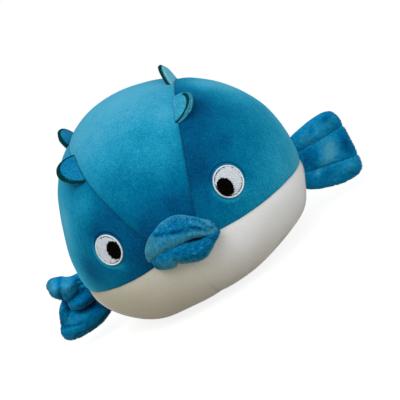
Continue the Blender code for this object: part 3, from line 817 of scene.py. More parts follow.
# Painted light on the belly: a highlight at the front on the fish's left and a shade lower down on its
# right.
BELLY_HIGHLIGHT_AND_SHADE = (
    ((0.0330, -0.0760, -0.0260), 0.0150, 0.20),
    ((-0.0200, -0.0760, -0.0380), 0.0150, -0.12),
)
CROWN_PATCHES = (
    ((0.0210, -0.0724, 0.0499), 0.0160, 0.14),
    ((0.0336, -0.0541, 0.0673), 0.0110, 0.15),
    ((0.0245, -0.0021, 0.0922), 0.0160, 0.25),
    ((-0.0138, -0.0855, 0.0175), 0.0070, -0.15),
    ((0.0093, -0.0857, 0.0194), 0.0070, -0.12),
    ((-0.0189, -0.0717, 0.0518), 0.0110, -0.08),
)
LEFT_PATCHES = (
    ((0.0695, -0.0046, 0.0649), 0.0240, 0.45),
    ((0.0351, -0.0779, 0.0269), 0.0110, -0.18),
    ((0.0581, -0.0618, 0.0347), 0.0070, -0.14),
    ((0.0542, -0.0465, 0.0599), 0.0110, -0.09),
    ((0.0581, -0.0169, 0.0733), 0.0110, 0.25),
)
RIGHT_PATCHES = (
    ((-0.0737, -0.0436, 0.0372), 0.0160, 0.30),
    ((-0.0695, -0.0599, 0.0025), 0.0110, -0.28),
    ((-0.0464, -0.0635, 0.0468), 0.0110, 0.22),
    ((-0.0479, -0.0717, 0.0272), 0.0070, -0.18),
    ((-0.0450, -0.0790, -0.0010), 0.0050, 0.25),
)


CROWN_NAP = (0.35, (-0.13, 0.22, 0.76), CROWN_PATCHES)
LEFT_NAP = (0.80, (0.18, 0.53, -0.59), LEFT_PATCHES)
RIGHT_NAP = (0.75, (-0.45, 0.84, 0.01), RIGHT_PATCHES)
# The belly's slope is painted shade, darker and warmer towards the fish's right side.
BELLY_SHADING = (0.56, (0.62, 0.0, -0.10), BELLY_HIGHLIGHT_AND_SHADE)


def make_panel(name, node, points, finish, nap):
    placed, distance = sewn_skin(points)
    seam = bell(distance, SEAM_SHADE_HALF_WIDTH) * belly_seam_ease(placed)
    properties = {"nap": brushed(placed, *nap), "seam": seam}
    made = make_object(name, placed, grid_faces(*PANEL_GRID).tolist(), finish, properties)
    tidy_mesh(made, 1e-6)
    add_fabric(made)
    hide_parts(node)


def make_body():
    grid = flat_grid(*(np.linspace(-1.0, 1.0, count) for count in PANEL_GRID))
    points = top_panel_points(*grid)
    make_panel("top_panel_velour", "top_panel", points, CROWN_VELOUR, CROWN_NAP)
    for word, side, nap in (("left", 1.0, LEFT_NAP), ("right", -1.0, RIGHT_NAP)):
        points = side_panel_points(*grid, side)
        make_panel(f"{word}_panel_velour", f"{word}_panel", points, SIDE_VELOUR, nap)
        points = belly_panel_points(*grid, side)
        make_panel(f"{word}_belly_velour", f"belly_{word}", points, BELLY_VELOUR, BELLY_SHADING)
    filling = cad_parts["stuffing"]
    filling.data.materials.clear()
    filling.data.materials.append(FILLING)


# Lips


MOUTH_COURSE = (
    (-0.0270, -0.0082),
    (-0.0200, -0.0034),
    (-0.0097, -0.0021),
    (0.0033, -0.0034),
    (0.0144, -0.0072),
    (0.0270, -0.0116),
)
MOUTH_CURVE = np.polyfit([place[0] for place in MOUTH_COURSE], [place[1] for place in MOUTH_COURSE], 4)


def mouth_level(across):
    return np.polyval(MOUTH_CURVE, across)


def half_opening(across):
    opening = MOUTH_OPENING * bell(across - MOUTH_OPENING_PLACE, MOUTH_OPENING_HALF_WIDTH)
    return 0.5 * (SEATING_GAP + opening)


def lip_height(along, ring, upwards):
    """How far the lip reaches from the slit, up or down the face; the lower tapers to the fish's left."""
    if upwards:
        taper = ring ** (0.55 + 0.45 * ramp(along, 0.2, 0.9))
        share = 0.82 + 0.18 * ramp(along, -0.6, -0.1) - 0.10 * ramp(along, 0.0, 0.5)
        return UPPER_LIP_HEIGHT * taper * share
    crease = LIP_CREASE_DEPTH * bell(LIP_HALF_WIDTH * along - LIP_CREASE_PLACE, LIP_CREASE_HALF_WIDTH)
    taper = ring ** (0.75 + 1.30 * ramp(along, 0.3, 0.9)) * (1.0 - 0.28 * ramp(along, 0.0, 0.75))
    taper = taper * (1.0 + 0.12 * ramp(-along, 0.2, 0.6))
    return np.maximum(LOWER_LIP_HEIGHT * taper - crease, 0.2 * LOWER_LIP_HEIGHT * ring)


LIP_CORNER = (0.0262, -0.0105)
RIDGE = (
    (-0.0160, 0.0082),
    (-0.0121, 0.0088),
    (-0.0031, 0.0062),
    (0.0050, 0.0036),
    (0.0146, -0.0002),
    (0.0234, -0.0066),
)


def ridge_side(points):
    """Distance from the upper lip's ridge, more than 0 above it."""
    flat = np.stack((points[:, 0], points[:, 2]), -1)
    course = np.interp(points[:, 0], [place[0] for place in RIDGE], [place[1] for place in RIDGE])
    return np.sign(points[:, 2] - course) * distance_to_path(flat, RIDGE)


def lip_points(along, angle, upwards):
    """along runs from corner to corner; angle runs round the lip's section, 0 out and 90 degrees up."""
    ring = np.sqrt(np.maximum(0.0, 1.0 - along**2))
    across = LIP_MIDDLE + LIP_HALF_WIDTH * along
    out = np.maximum(signed_power(np.cos(angle), 0.75), 0.0)
    rise = signed_power(np.sin(angle), 0.75)
    height = lip_height(along, ring, upwards) * (0.5 + 0.5 * rise - 0.22 * out)
    height = np.maximum(height, 0.0) + half_opening(across)
    level = mouth_level(across) + (height if upwards else -height)
    seat = on_surface(np.stack((across, -np.sqrt(HALF_DEPTH**2 - across**2), level), -1))
    normals = normal_at(seat)
    points = seat + normals * (SEATING_GAP + LIP_REACH * ring**0.85 * out)[..., None]
    if not upwards:
        return points
    groove = bell(ridge_side(points) - 0.0006, 0.0010) * ramp(out, 0.1, 0.5) * ramp(ring, 0.2, 0.6)
    return points - normals * (0.0011 * groove + 0.0005 * corner_streaks(points, along) * out)[:, None]


def corner_streaks(points, along):
    """Strands of the upper lip that fan out from its corner on the fish's left."""
    turn = np.arctan2(points[:, 2] - LIP_CORNER[1], LIP_CORNER[0] - points[:, 0])
    return np.sin(26.0 * turn + 1.0) * ramp(along, 0.10, 0.75)


def lip_nap(points, along, rise, upwards):
    """Deep blue where the pile lies smooth and pale where it stands out; the pale band below the upper
    lip's ridge, the outer rims and the ends are painted highlights, and the dark line just above the ridge
    is painted shadow in its groove.
    """
    if upwards:
        side = ridge_side(points)
        nap = 0.49 + 0.34 * (1.0 - ramp(side, -0.0010, 0.0012)) - 0.24 * bell(side - 0.0006, 0.0010)
        nap = nap + 0.28 * ramp(rise, 0.75, 1.0) + 0.26 * ramp(along, 0.25, 0.8) * ramp(rise, -0.2, 0.4)
        return nap + 0.22 * bell(along + 0.95, 0.30) - 0.22 * corner_streaks(points, along)
    nap = 0.44 + 0.42 * ramp(rise, 0.40, 0.85) - 0.06 * ramp(along, 0.3, 0.9)
    return nap + 0.35 * bell(along + 0.50, 0.25) * ramp(rise, 0.0, 0.5) + 0.15 * ramp(-along, 0.35, 0.8)


def lip_comb(points, rise, upwards):
    """The smooth pile lies along the lip, towards the fish's left, and the rest is brushed down."""
    if upwards:
        smooth = ramp(ridge_side(points), -0.001, 0.002)[:, None]
        return smooth * (2.4 * SIDEWAYS + 0.9 * UP) - (1.0 - smooth) * (2.0 * UP + 0.7 * SIDEWAYS)
    smooth = (1.0 - ramp(rise, 0.3, 0.8))[:, None]
    return smooth * 2.6 * SIDEWAYS - (1.0 - smooth) * (2.0 * UP - 0.5 * SIDEWAYS)


def make_lips():
    rows, columns = LIP_GRID
    along = np.sin(0.5 * math.pi * np.linspace(-0.995, 0.995, rows))
    angle = np.arange(columns) * (2.0 * math.pi / columns)
    along, angle = flat_grid(along, angle)
    rise = np.sin(angle)
    shown = ramp(np.cos(angle), 0.0, 0.3) * ramp(rise, -1.0, -0.7) * (1.0 - 0.5 * ramp(along, 0.85, 1.0))
    for name, upwards, seed in (("upper_lip", True, 11), ("lower_lip", False, 12)):
        points = lip_points(along, angle, upwards)
        nap = lip_nap(points, along, rise, upwards)
        skin = outward_skin(points, grid_faces(rows, columns, wrap=True), nap, 0.25 + 0.75 * shown)
        pile = pile_on(skin, lip_comb(points, rise, upwards), LIP_PILE, seed)
        made = piled_object(f"{name}_plush", skin, pile, LIP_PLUSH)
        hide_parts(name)


# Fins


def padding(height):
    """Thickness share from the lower edge at -1 to the upper at 1, pinched at the two rows of stitching."""
    share = np.zeros_like(height)
    bounds = (-1.0, -FIN_STITCH_PLACE, FIN_STITCH_PLACE, 1.0)
    for low, high in zip(bounds, bounds[1:]):
        inside = (height >= low) & (height <= high)
        share = np.where(inside, (2.0 * height - low - high) / (high - low), share)
    return 1.0 - FIN_STITCH_PINCH * share**2


def rounded_corners(out, height):
    """Takes a half square, from its root at out 0, to one with rounded tip corners."""
    side = np.abs(height)
    full = (out**FIN_CORNER_FULLNESS + side**FIN_CORNER_FULLNESS) ** (1.0 / FIN_CORNER_FULLNESS)
    share = np.maximum(out, side) / np.maximum(full, 1e-9)
    return out * share, height * share


def flat_fin_reach(height):
    return LEFT_FIN_LENGTH + LEFT_FIN_SLANT * height


def crumpled_fin_reach(height):
    """Short above its notch and longer in the lobe below it."""
    lobe = RIGHT_FIN_LOBE * ramp(-height, -0.30, 0.70)
    tip = RIGHT_FIN_TIP_POINT * bell(height - 0.90, 0.22)
    return RIGHT_FIN_LENGTH + lobe + tip - RIGHT_FIN_NOTCH * bell(height - 0.36, 0.20)


def tail_reach(height):
    return np.full_like(height, TAIL_LENGTH)


def flat_fin_relief(out, level):
    """Slight hollows and swells of a flat padded fin."""
    ripple = 0.0010 * np.sin(out * 260.0 + level * 90.0) * np.sin(level * 210.0 + 1.0)
    return ripple * ramp(out, 0.0, 0.010)


def knuckle(flat, place, turn, half_length, half_width, height):
    """A rounded swelling, longer one way, with a clear edge."""
    away = flat - np.array(place)
    along = away[:, 0] * math.cos(turn) + away[:, 1] * math.sin(turn)
    across = away[:, 1] * math.cos(turn) - away[:, 0] * math.sin(turn)
    inside = np.maximum(0.0, 1.0 - (along / half_length) ** 2 - (across / half_width) ** 2)
    return height * inside**0.7


KNUCKLES = (
    ((0.0262, -0.0065), math.radians(-62.0), 0.0125, 0.0062, 0.0085),
    ((0.0170, -0.0100), math.radians(-56.0), 0.0125, 0.0072, 0.0100),
    ((0.0165, -0.0250), math.radians(8.0), 0.0110, 0.0066, 0.0095),
    ((0.0330, -0.0440), math.radians(-12.0), 0.0230, 0.0120, 0.0042),
    ((0.0345, -0.0270), math.radians(-55.0), 0.0110, 0.0045, 0.0030),
    ((0.0260, -0.0350), math.radians(-25.0), 0.0090, 0.0050, 0.0030),
)
FIN_FOLD = (
    (0.0345, -0.0165),
    (0.0300, -0.0190),
    (0.0265, -0.0225),
    (0.0270, -0.0280),
    (0.0210, -0.0325),
    (0.0100, -0.0320),
)
FIN_CREASES = (
    (((0.0440, -0.0340), (0.0400, -0.0375), (0.0360, -0.0380)), 0.0016, 0.0014),
    (((0.0330, -0.0395), (0.0300, -0.0412), (0.0270, -0.0408)), 0.0013, 0.0012),
    (((0.0320, -0.0260), (0.0395, -0.0340)), 0.0016, 0.0022),
    (((0.0215, 0.0000), (0.0235, -0.0025), (0.0225, -0.0045)), 0.0014, 0.0012),
)


def crumpled_fin_relief(out, level):
    """Three knuckles above a deep fold, and below it a broad lobe with shallow creases."""
    flat = np.stack((out, level), -1)
    relief = np.zeros_like(out)
    for place, turn, half_length, half_width, height in KNUCKLES:
        relief = np.maximum(relief, knuckle(flat, place, turn, half_length, half_width, height))
    relief = relief - 0.0060 * bell(distance_to_path(flat, FIN_FOLD), 0.0022)
    for course, depth, half_width in FIN_CREASES:
        relief = relief - depth * bell(distance_to_path(flat, course), half_width)
    pulled = np.sin((level - 0.45 * out) * 1500.0) * bell(out - 0.0070, 0.0045)
    return relief + 0.0005 * (pulled * ramp(level, -0.024, -0.016))


def fin_points(grid_out, grid_height, layer, fin):
    """Both positions run from -1 to 1: out from root to tip, height from the lower edge to the upper."""
    out, height = rounded_corners(0.5 * (1.0 + grid_out), grid_height)
    half_height = fin["root_half"] + (fin["tip_half"] - fin["root_half"]) * out**0.8
    gathered = fin["gathered"] * ramp(height, 0.0, 0.6) * (1.0 - ramp(out, 0.15, 0.8))
    half_height = half_height * (1.0 - gathered)
    length = fin["reach"](height) * out
    fuller = fin["fuller"] * bell(out - 0.45, 0.30) * ramp(-height, 0.4, 1.0)
    level = fin["level"] - fin["droop"] * out + half_height * height - fuller
    rim = (1.0 - np.maximum(np.abs(grid_height), grid_out) ** 6) ** 0.5
    puff = (FIN_THICKNESS - FIN_RIM_THICKNESS) * padding(height)
    stitched = bell((np.abs(height) - FIN_STITCH_PLACE) * half_height, FIN_STITCH_HALF_WIDTH)
    thickness = rim * (FIN_RIM_THICKNESS + puff * (1.0 - 0.5 * stitched * fin["stitched"]))
    raised = ramp(out, 0.0, 0.25) * (1.0 - 0.6 * ramp(height, 0.70, 1.0))
    offset = layer * 0.5 * thickness + fin["relief"](length, level) * raised
    start = fin["root"] + UP * level[:, None] + fin["facing"] * offset[:, None]
    at_root = reach_along(start, fin["outward"])
    at_middle = reach_along(fin["root"] + UP * fin["level"], fin["outward"])
    seat = start + fin["outward"] * at_root
    at_root = at_root - seam_depth(seam_distance(seat))[:, None]
    settled = at_root + (at_middle - at_root) * out[:, None]
    reach = settled + SEATING_GAP + (length * math.cos(fin["sweep"]))[:, None]
    points = start + fin["outward"] * reach - fin["facing"] * (length * math.sin(fin["sweep"]))[:, None]
    return points, length, level


def fin_shapes():
    flat = {
        "level": FIN_ROOT_LEVEL,
        "root": np.array((0.0, FIN_ROOT_SETBACK, 0.0)),
        "root_half": FIN_ROOT_HALF_HEIGHT,
        "tip_half": FIN_TIP_HALF_HEIGHT,
        "droop": FIN_DROOP,
        "facing": FRONT,
        "stitched": 1.0,
        "gathered": 0.0,
        "fuller": 0.0,
        "relief": flat_fin_relief,
        "nap": flat_fin_nap,
        "pile": FIN_PILE,
    }
    left = dict(flat, outward=SIDEWAYS, sweep=LEFT_FIN_SWEEP, reach=flat_fin_reach)
    left.update(root_half=LEFT_FIN_ROOT_HALF_HEIGHT)
    right = dict(flat, outward=-SIDEWAYS, sweep=RIGHT_FIN_SWEEP, reach=crumpled_fin_reach, stitched=0.0)
    right.update(relief=crumpled_fin_relief, nap=crumpled_fin_nap, tip_half=RIGHT_FIN_TIP_HALF_HEIGHT)
    right.update(gathered=RIGHT_FIN_GATHER, fuller=RIGHT_FIN_FULLNESS)
    tail = dict(flat, outward=-FRONT, facing=SIDEWAYS, sweep=0.0, reach=tail_reach, root=np.zeros(3))
    tail.update(level=TAIL_ROOT_LEVEL, root_half=TAIL_ROOT_HALF_HEIGHT, tip_half=TAIL_TIP_HALF_HEIGHT)
    tail.update(droop=TAIL_DROOP, pile=TAIL_PILE)
    return {"left_fin": left, "right_fin": right, "tail_fin": tail}


FLAT_FIN_PATCHES = (
    ((0.0240, -0.0215), (0.0060, 0.0075), 0.50),
    ((0.0190, -0.0270), (0.0055, 0.0045), 0.30),
    ((0.0355, -0.0250), (0.0040, 0.0100), -0.30),
    ((0.0050, -0.0190), (0.0075, 0.0070), -0.24),
    ((0.0097, -0.0330), (0.0030, 0.0022), 0.30),
    ((0.0300, -0.0410), (0.0100, 0.0050), 0.15),
    ((0.0170, -0.0376), (0.0050, 0.0030), -0.15),
    ((0.0160, -0.0031), (0.0040, 0.0018), -0.26),
    ((0.0316, -0.0016), (0.0050, 0.0028), -0.26),
    ((0.0230, -0.0040), (0.0130, 0.0045), 0.20),
    ((0.0092, -0.0068), (0.0060, 0.0050), 0.16),
)
# Painted highlights on the knuckles and the lower lobe's rises, and painted shade in the hollows, deepest
# by the body.
CRUMPLED_FIN_HIGHLIGHTS_AND_SHADE = (
    ((0.0270, -0.0040), (0.0060, 0.0070), 0.34),
    ((0.0160, -0.0080), (0.0060, 0.0080), 0.30),
    ((0.0180, -0.0235), (0.0080, 0.0050), 0.04),
    ((0.0100, -0.0320), (0.0080, 0.0090), -0.42),
    ((0.0330, -0.0215), (0.0020, 0.0060), 0.18),
    ((0.0300, -0.0350), (0.0060, 0.0030), 0.14),
    ((0.0400, -0.0440), (0.0090, 0.0060), 0.10),
    ((0.0200, -0.0440), (0.0080, 0.0060), -0.12),
    ((0.0370, -0.0290), (0.0040, 0.0055), 0.24),
    ((0.0215, -0.0365), (0.0050, 0.0035), 0.16),
)


def patched(out, level, base, patches):
    """Patches that make the tone paler or darker; on the crumpled fin they are painted highlights and
    painted shade.
    """
    nap = np.full_like(out, base)
    for place, reach, amount in patches:
        nap = nap + amount * bell(out - place[0], reach[0]) * bell(level - place[1], reach[1])
    return nap


def flat_fin_nap(out, level):
    return patched(out, level, 0.50, FLAT_FIN_PATCHES)


# Painted shade along the folds and creases at the knuckles' edges.
FOLD_SHADES = (
    (((0.0195, -0.0020), (0.0215, -0.0060), (0.0240, -0.0105), (0.0272, -0.0165)), 0.0021, 0.26),
    (((0.0250, -0.0195), (0.0170, -0.0190), (0.0090, -0.0185)), 0.0018, 0.34),
    (((0.0275, -0.0215), (0.0275, -0.0270), (0.0220, -0.0320), (0.0110, -0.0330)), 0.0024, 0.34),
    (((0.0330, -0.0245), (0.0400, -0.0335)), 0.0028, 0.22),
    (((0.0440, -0.0340), (0.0400, -0.0375), (0.0360, -0.0380)), 0.0012, 0.22),
)


def crumpled_fin_nap(out, level):
    """Painted highlights on the knuckles and painted shade in the folds between them."""
    flat = np.stack((out, level), -1)
    nap = patched(out, level, 0.48, CRUMPLED_FIN_HIGHLIGHTS_AND_SHADE)
    for course, half_width, amount in FOLD_SHADES:
        nap = nap - amount * bell(distance_to_path(flat, course), half_width)
    return nap


def pad_faces(rows, columns):
    """Faces of a two-layer pad on a grid: the front layer, the back layer and the rim that joins them."""
    front = grid_faces(rows, columns)
    back = front[:, ::-1] + rows * columns
    index = np.arange(rows * columns).reshape(rows, columns)
    loop = np.concatenate((index[0, :-1], index[:-1, -1], index[-1, :0:-1], index[:0:-1, 0]))
    following = np.roll(loop, -1)
    rim = np.stack((following, loop, loop + rows * columns, following + rows * columns), -1)
    return np.concatenate((front, back, rim))


def outward_skin(points, faces, nap, cover):
    """A closed skin with its faces pointing out, ready for pile."""
    corners = points[faces]
    first = corners[:, 0]
    volume = 0.0
    for k in (1, 2):
        across = np.cross(corners[:, k] - first, corners[:, k + 1] - first)
        volume += np.sum(across * (first - points.mean(axis=0)))
    if volume < 0.0:
        faces = faces[:, ::-1]
    normals = vertex_normals(points, faces)
    return {"points": points, "faces": faces, "normals": normals, "nap": nap, "cover": cover}


def edge_spaced(count):
    """Positions from -1 to 1, closer together towards both ends."""
    even = np.linspace(-1.0, 1.0, count)
    return 0.5 * even + 0.5 * np.sin(0.5 * math.pi * even)


def stitch_row(fin, side, layer):
    """Dashes of thread along one row of quilting, a little above the skin."""
    steps = 5
    paths = []
    for k in range(FIN_STITCHES):
        share = np.linspace(k + 0.15, k + 0.75, steps) / FIN_STITCHES
        grid_out = 2.0 * (0.04 + 0.90 * share) - 1.0
        row = fin_points(grid_out, np.full(steps, side * FIN_STITCH_PLACE), layer, fin)[0]
        arch = 0.0004 + 0.0004 * np.sin(math.pi * np.linspace(0.0, 1.0, steps))
        paths.append(row + fin["facing"] * (layer * arch)[:, None])
    return paths


def make_stitching(name, fin):
    rows = ((side, layer) for side in (-1.0, 1.0) for layer in (-1.0, 1.0))
    paths = np.array([path for side, layer in rows for path in stitch_row(fin, side, layer)])
    out = np.broadcast_to(fin["facing"], paths.shape)
    made = threads(f"{name}_stitching", paths, out, FIN_THREAD_RADIUS, SEAM_THREAD)


def make_fin_edging(name, fin):
    """Dark thread wound over the lower rim, seen where the crumpled fin turns its edge to the front."""
    grid_out = np.linspace(-0.80, 0.97, FIN_EDGE_LOOPS)
    front = fin_points(grid_out, np.full(FIN_EDGE_LOOPS, -0.87), 1.0, fin)[0] + fin["facing"] * 0.0008
    over = fin_points(grid_out, np.full(FIN_EDGE_LOOPS, -0.985), 0.6, fin)[0] - UP * 0.0003
    path = np.stack((front, over), 1).reshape(1, -1, 3)
    out = np.broadcast_to(fin["facing"], path.shape)
    made = threads(f"{name}_edge_thread", path, out, FIN_EDGE_THREAD_RADIUS, FIN_EDGE_THREAD)


def fin_skin(fin, grid_out, grid_height):
    """Both layers of a fin, ready for pile, which is shorter at the root and along the stitching."""
    layers = [fin_points(grid_out, grid_height, layer, fin) for layer in (1.0, -1.0)]
    points = np.concatenate([placed for placed, length, level in layers])
    nap = np.concatenate([fin["nap"](length, level) for placed, length, level in layers])
    row = 1.0 - 0.75 * (bell(np.abs(grid_height) - FIN_STITCH_PLACE, 0.045) * fin["stitched"])
    cover = [(ramp(length, 0.0005, 0.003) * 0.3 + 0.7) * row for placed, length, level in layers]
    return outward_skin(points, pad_faces(*FIN_GRID), nap, np.concatenate(cover))


def make_fins():
    grid = flat_grid(*map(edge_spaced, FIN_GRID))
    for seed, (name, fin) in enumerate(fin_shapes().items(), 21):
        skin = fin_skin(fin, *grid)
        comb = 2.2 * fin["outward"] - 1.2 * UP + np.zeros_like(skin["points"])
        made = piled_object(f"{name}_plush", skin, pile_on(skin, comb, fin["pile"], seed), FIN_PLUSH)
        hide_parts(name)
        if fin["stitched"]:
            make_stitching(name, fin)
        else:
            make_fin_edging(name, fin)


# Spikes


def seam_point(place, side):
    direction = np.array((side * TOP_PANEL_FLARE * math.sin(place), -math.cos(place), math.sin(place)))
    start = np.array((side * TOP_PANEL_HALF_WIDTH, 0.0, 0.0))
    return start + direction * reach_along(start, direction)


def spike_frame(side, place, lean, twist, shift, size):
    """Where a spike stands: twist turns its foot off the seam's line, shift moves it across the fish."""
    middle = on_surface(seam_point(place, side) + np.array((shift, 0.0, 0.0)))
    step = math.radians(2.0)
    along = unit(seam_point(place + step, side) - seam_point(place - step, side))
    normal = normal_at(middle)
    across = unit(np.cross(along, normal))
    across = across if across[0] * side > 0.0 else -across
    turned = along * math.cos(twist) + across * math.sin(twist)
    across = unit(across * math.cos(twist) - along * math.sin(twist))
    stand = unit(normal * math.cos(lean) + across * math.sin(lean))
    return {"middle": middle, "along": turned * size, "across": across, "stand": stand * size}


def spike_place(spike, along, height, offset):
    """A point of the spike: along and height are shares of its foot's half length and of its height."""
    place = spike["middle"] + spike["along"] * (0.5 * SPIKE_BASE_WIDTH * along)[:, None]
    base = on_surface(place + spike["across"] * np.reshape(offset, (-1, 1)))
    seat = base + normal_at(base) * (SEATING_GAP - SEAM_DIP)
    return seat + spike["stand"] * (SPIKE_HEIGHT * height)[:, None]


def spike_points(grid_along, grid_up, layer, spike):
    up = 0.5 * (1.0 + grid_up)
    along = grid_along * np.sqrt(1.0 - 0.5 * up**2)
    height = up * np.sqrt(1.0 - 0.5 * grid_along**2)
    rim = 1.0 - np.maximum(np.abs(grid_along), up) ** 8
    edge = 0.4 * SPIKE_RIM_THICKNESS
    half_thickness = 0.5 * (edge + (SPIKE_THICKNESS - edge) * rim**0.5)
    return spike_place(spike, along, height, layer * half_thickness)


def spike_rim(spike, turns, inset, offset):
    """Points along the spike's rim from one end of its foot to the other, drawn in by inset."""
    angle = np.linspace(0.02, spike["edge_end"], turns)
    scale = 1.0 - np.broadcast_to(inset, turns)
    return spike_place(spike, -np.cos(angle) * scale, np.sin(angle) * scale, offset)


def make_spikes():
    grid_along, grid_up = flat_grid(*map(edge_spaced, SPIKE_GRID))
    for name, side, place, lean, twist, shift, size, tone, bound in SPIKES:
        spike = spike_frame(side, place, lean, twist, shift, size)
        spike["edge_end"] = math.pi * (0.72 if bound is None else 0.98)
        points = np.concatenate([spike_points(grid_along, grid_up, layer, spike) for layer in (1.0, -1.0)])
        up = np.tile(0.5 * (1.0 + grid_up), 2)
        lines = np.tile(np.sin(36.0 * grid_along + 5.0 * grid_up), 2)
        nap = tone + 0.08 * lines * ramp(up, 0.2, 0.8)
        skin = outward_skin(points, pad_faces(*SPIKE_GRID), nap, nap)
        # The seam property here is painted shadow: a dark line along the spike's foot where it meets the
        # body.
        properties = {"nap": nap, "seam": 0.7 * bell(up, 0.06)}
        made = make_object(f"{name}_velour", points, skin["faces"].tolist(), SPIKE_VELOUR, properties)
        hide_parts(name)
        make_overlock(name, spike, bound)


def make_overlock(name, spike, bound):
    """Dark thread wound along the spike's cut edge, its ends ragged; it goes right over a bound edge."""
    loops = SPIKE_EDGE_LOOPS
    ragged = 0.04 * np.sin(np.arange(loops) * 2.4)
    if bound is not None:
        inner = spike_rim(spike, loops, 0.06 + 0.6 * ragged, -0.0021)
        middle = spike_rim(spike, loops, 0.01, -0.0015)
        over = spike_rim(spike, loops, -0.03, -0.0004)
        turn = (inner, middle, over, spike_rim(spike, loops, -0.02, bound), over, middle)
    else:
        inner = spike_rim(spike, loops, 0.09 + ragged, -0.0023)
        middle = spike_rim(spike, loops, 0.04, -0.0019)
        turn = (inner, middle, spike_rim(spike, loops, 0.0, -0.0013), middle)
    path = np.stack(turn, 1).reshape(1, -1, 3)
    out = np.broadcast_to(unit(spike["stand"]), path.shape)
    made = threads(f"{name}_edge_thread", path, out, SPIKE_EDGE_THREAD_RADIUS, EDGE_THREAD)


# Eyes


def arched_threads(name, paths, low, high, fullness, radius, finish, tone):
    """Threads of five points on the skin, low at their ends and high in their middles."""
    paths = on_surface(paths)
    out = normal_at(paths)
    arch = low + (high - low) * np.array((0.0, fullness, 1.0, fullness, 0.0))
    return threads(name, paths + out * arch[None, :, None], out, radius, finish, {"tone": tone})


def stitched_disc(name, eye, half_width, half_height, stitch, low, high, turn, finish, seed):
    """Rows of short stitches that fill an oval on the skin."""
    middle, nose, up = eye
    random = np.random.default_rng(seed)
    row_way = nose * math.cos(turn) + up * math.sin(turn)
    step_way = up * math.cos(turn) - nose * math.sin(turn)
    paths = []
    reach = max(half_width, half_height)
    for row, step in enumerate(np.arange(-reach, reach, EYE_ROW_SPACING)):
        start = -reach - stitch * (row % 3) / 3.0
        while start < reach:
            ends = np.array((start, start + stitch)) + 0.12 * stitch * random.standard_normal(2)
            line = np.linspace(ends[0], ends[1], 5)
            across = line * math.cos(turn) - step * math.sin(turn)
            rise = line * math.sin(turn) + step * math.cos(turn)
            inside = np.hypot(across / half_width, rise / half_height) < 1.0
            if inside.sum() >= 3:
                line = line[inside]
                line = np.linspace(line[0], line[-1], 5)
                paths.append(middle + row_way * line[:, None] + step_way * step)
            start += stitch
    tone = random.standard_normal(len(paths))
    return arched_threads(name, np.array(paths), low, high, 0.85, 0.55 * EYE_ROW_SPACING, finish, tone)


def satin_ring(name, eye, radius, width, low, high, finish):
    """A ring of close radial stitches."""
    middle, nose, up = eye
    count = int(2.0 * math.pi * radius / RING_SPACING)
    angle = np.arange(count) * (2.0 * math.pi / count)
    ring = nose * np.cos(angle)[:, None] + up * np.sin(angle)[:, None]
    paths = middle + ring[:, None, :] * np.linspace(radius - width, radius, 5)[None, :, None]
    tone = np.random.default_rng(5).standard_normal(count)
    return arched_threads(name, paths, low, high, 0.8, 0.6 * RING_SPACING, finish, tone)


def eye_backing(name, eye, half_width, half_height, high, finish):
    """A thin closed pad under the stitches."""
    middle, nose, up = eye
    angle = np.arange(BACKING_COLUMNS) * (2.0 * math.pi / BACKING_COLUMNS)
    across = nose * (half_width * np.cos(angle))[:, None]
    rise = up * (half_height * np.sin(angle))[:, None]
    shares = (0.0, 0.35, 0.7, 0.92, 1.0, 1.0, 0.7, 0.35, 0.0)
    heights = (high, high, high, high, 0.5 * high, *4 * (BACKING_LIFT,))
    rings = []
    for share, height in zip(shares, heights):
        seat = on_surface(middle + share * (across + rise))
        rings.append(seat + normal_at(seat) * height)
    faces = grid_faces(len(rings), BACKING_COLUMNS, wrap=True).tolist()
    points = np.concatenate(rings)
    made = make_object(name, points, faces, finish, {"tone": np.zeros(len(points))})
    tidy_mesh(made)
    return made


def make_eye_white(word, number, eye):
    filled = EYE_RADIUS - EYE_INSET
    inner = filled - EYE_INSET
    made = eye_backing(f"{word}_eye_backing", eye, inner, inner, 0.0007, WHITE_THREAD)
    name = f"{word}_eye_stitches"
    turn = EYE_STITCH_TURN
    seed = 31 + number
    made = stitched_disc(name, eye, filled, filled, EYE_STITCH, 0.0006, 0.0011, turn, WHITE_THREAD, seed)
    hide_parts(f"{word}_eye_white")
    radius = EYE_RADIUS + RING_OVERHANG
    made = satin_ring(f"{word}_eye_ring", eye, radius, RING_WIDTH, 0.0003, 0.0013, RING_THREAD)


def make_pupil(word, number, eye):
    width = PUPIL_HALF_WIDTH
    height = PUPIL_HALF_HEIGHT
    inset = PUPIL_INSET
    made = eye_backing(f"{word}_pupil_backing", eye, width - inset, height - inset, 0.0014, BLACK_THREAD)
    name = f"{word}_pupil_stitches"
    turn = PUPIL_STITCH_TURN
    seed = 41 + number
    made = stitched_disc(name, eye, width, height, PUPIL_STITCH, 0.0011, 0.0018, turn, BLACK_THREAD, seed)
    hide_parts(f"{word}_pupil")


def make_eyes():
    eyes = (("left", LEFT_EYE_PLACE, LEFT_PUPIL_PLACE), ("right", RIGHT_EYE_PLACE, RIGHT_PUPIL_PLACE))
    for number, (word, place, pupil_place) in enumerate(eyes):
        middle, nose, up = eye_frame(place)
        make_eye_white(word, number, (middle, nose, up))
        pupil_middle = middle + nose * pupil_place[0] + up * pupil_place[1]
        make_pupil(word, number, (pupil_middle, nose, up))


# Stage, light and camera


def coloured(tree, kind, colour):
    made = tree.nodes.new(kind)
    made.inputs["Color"].default_value = (*colour, 1.0)
    return made


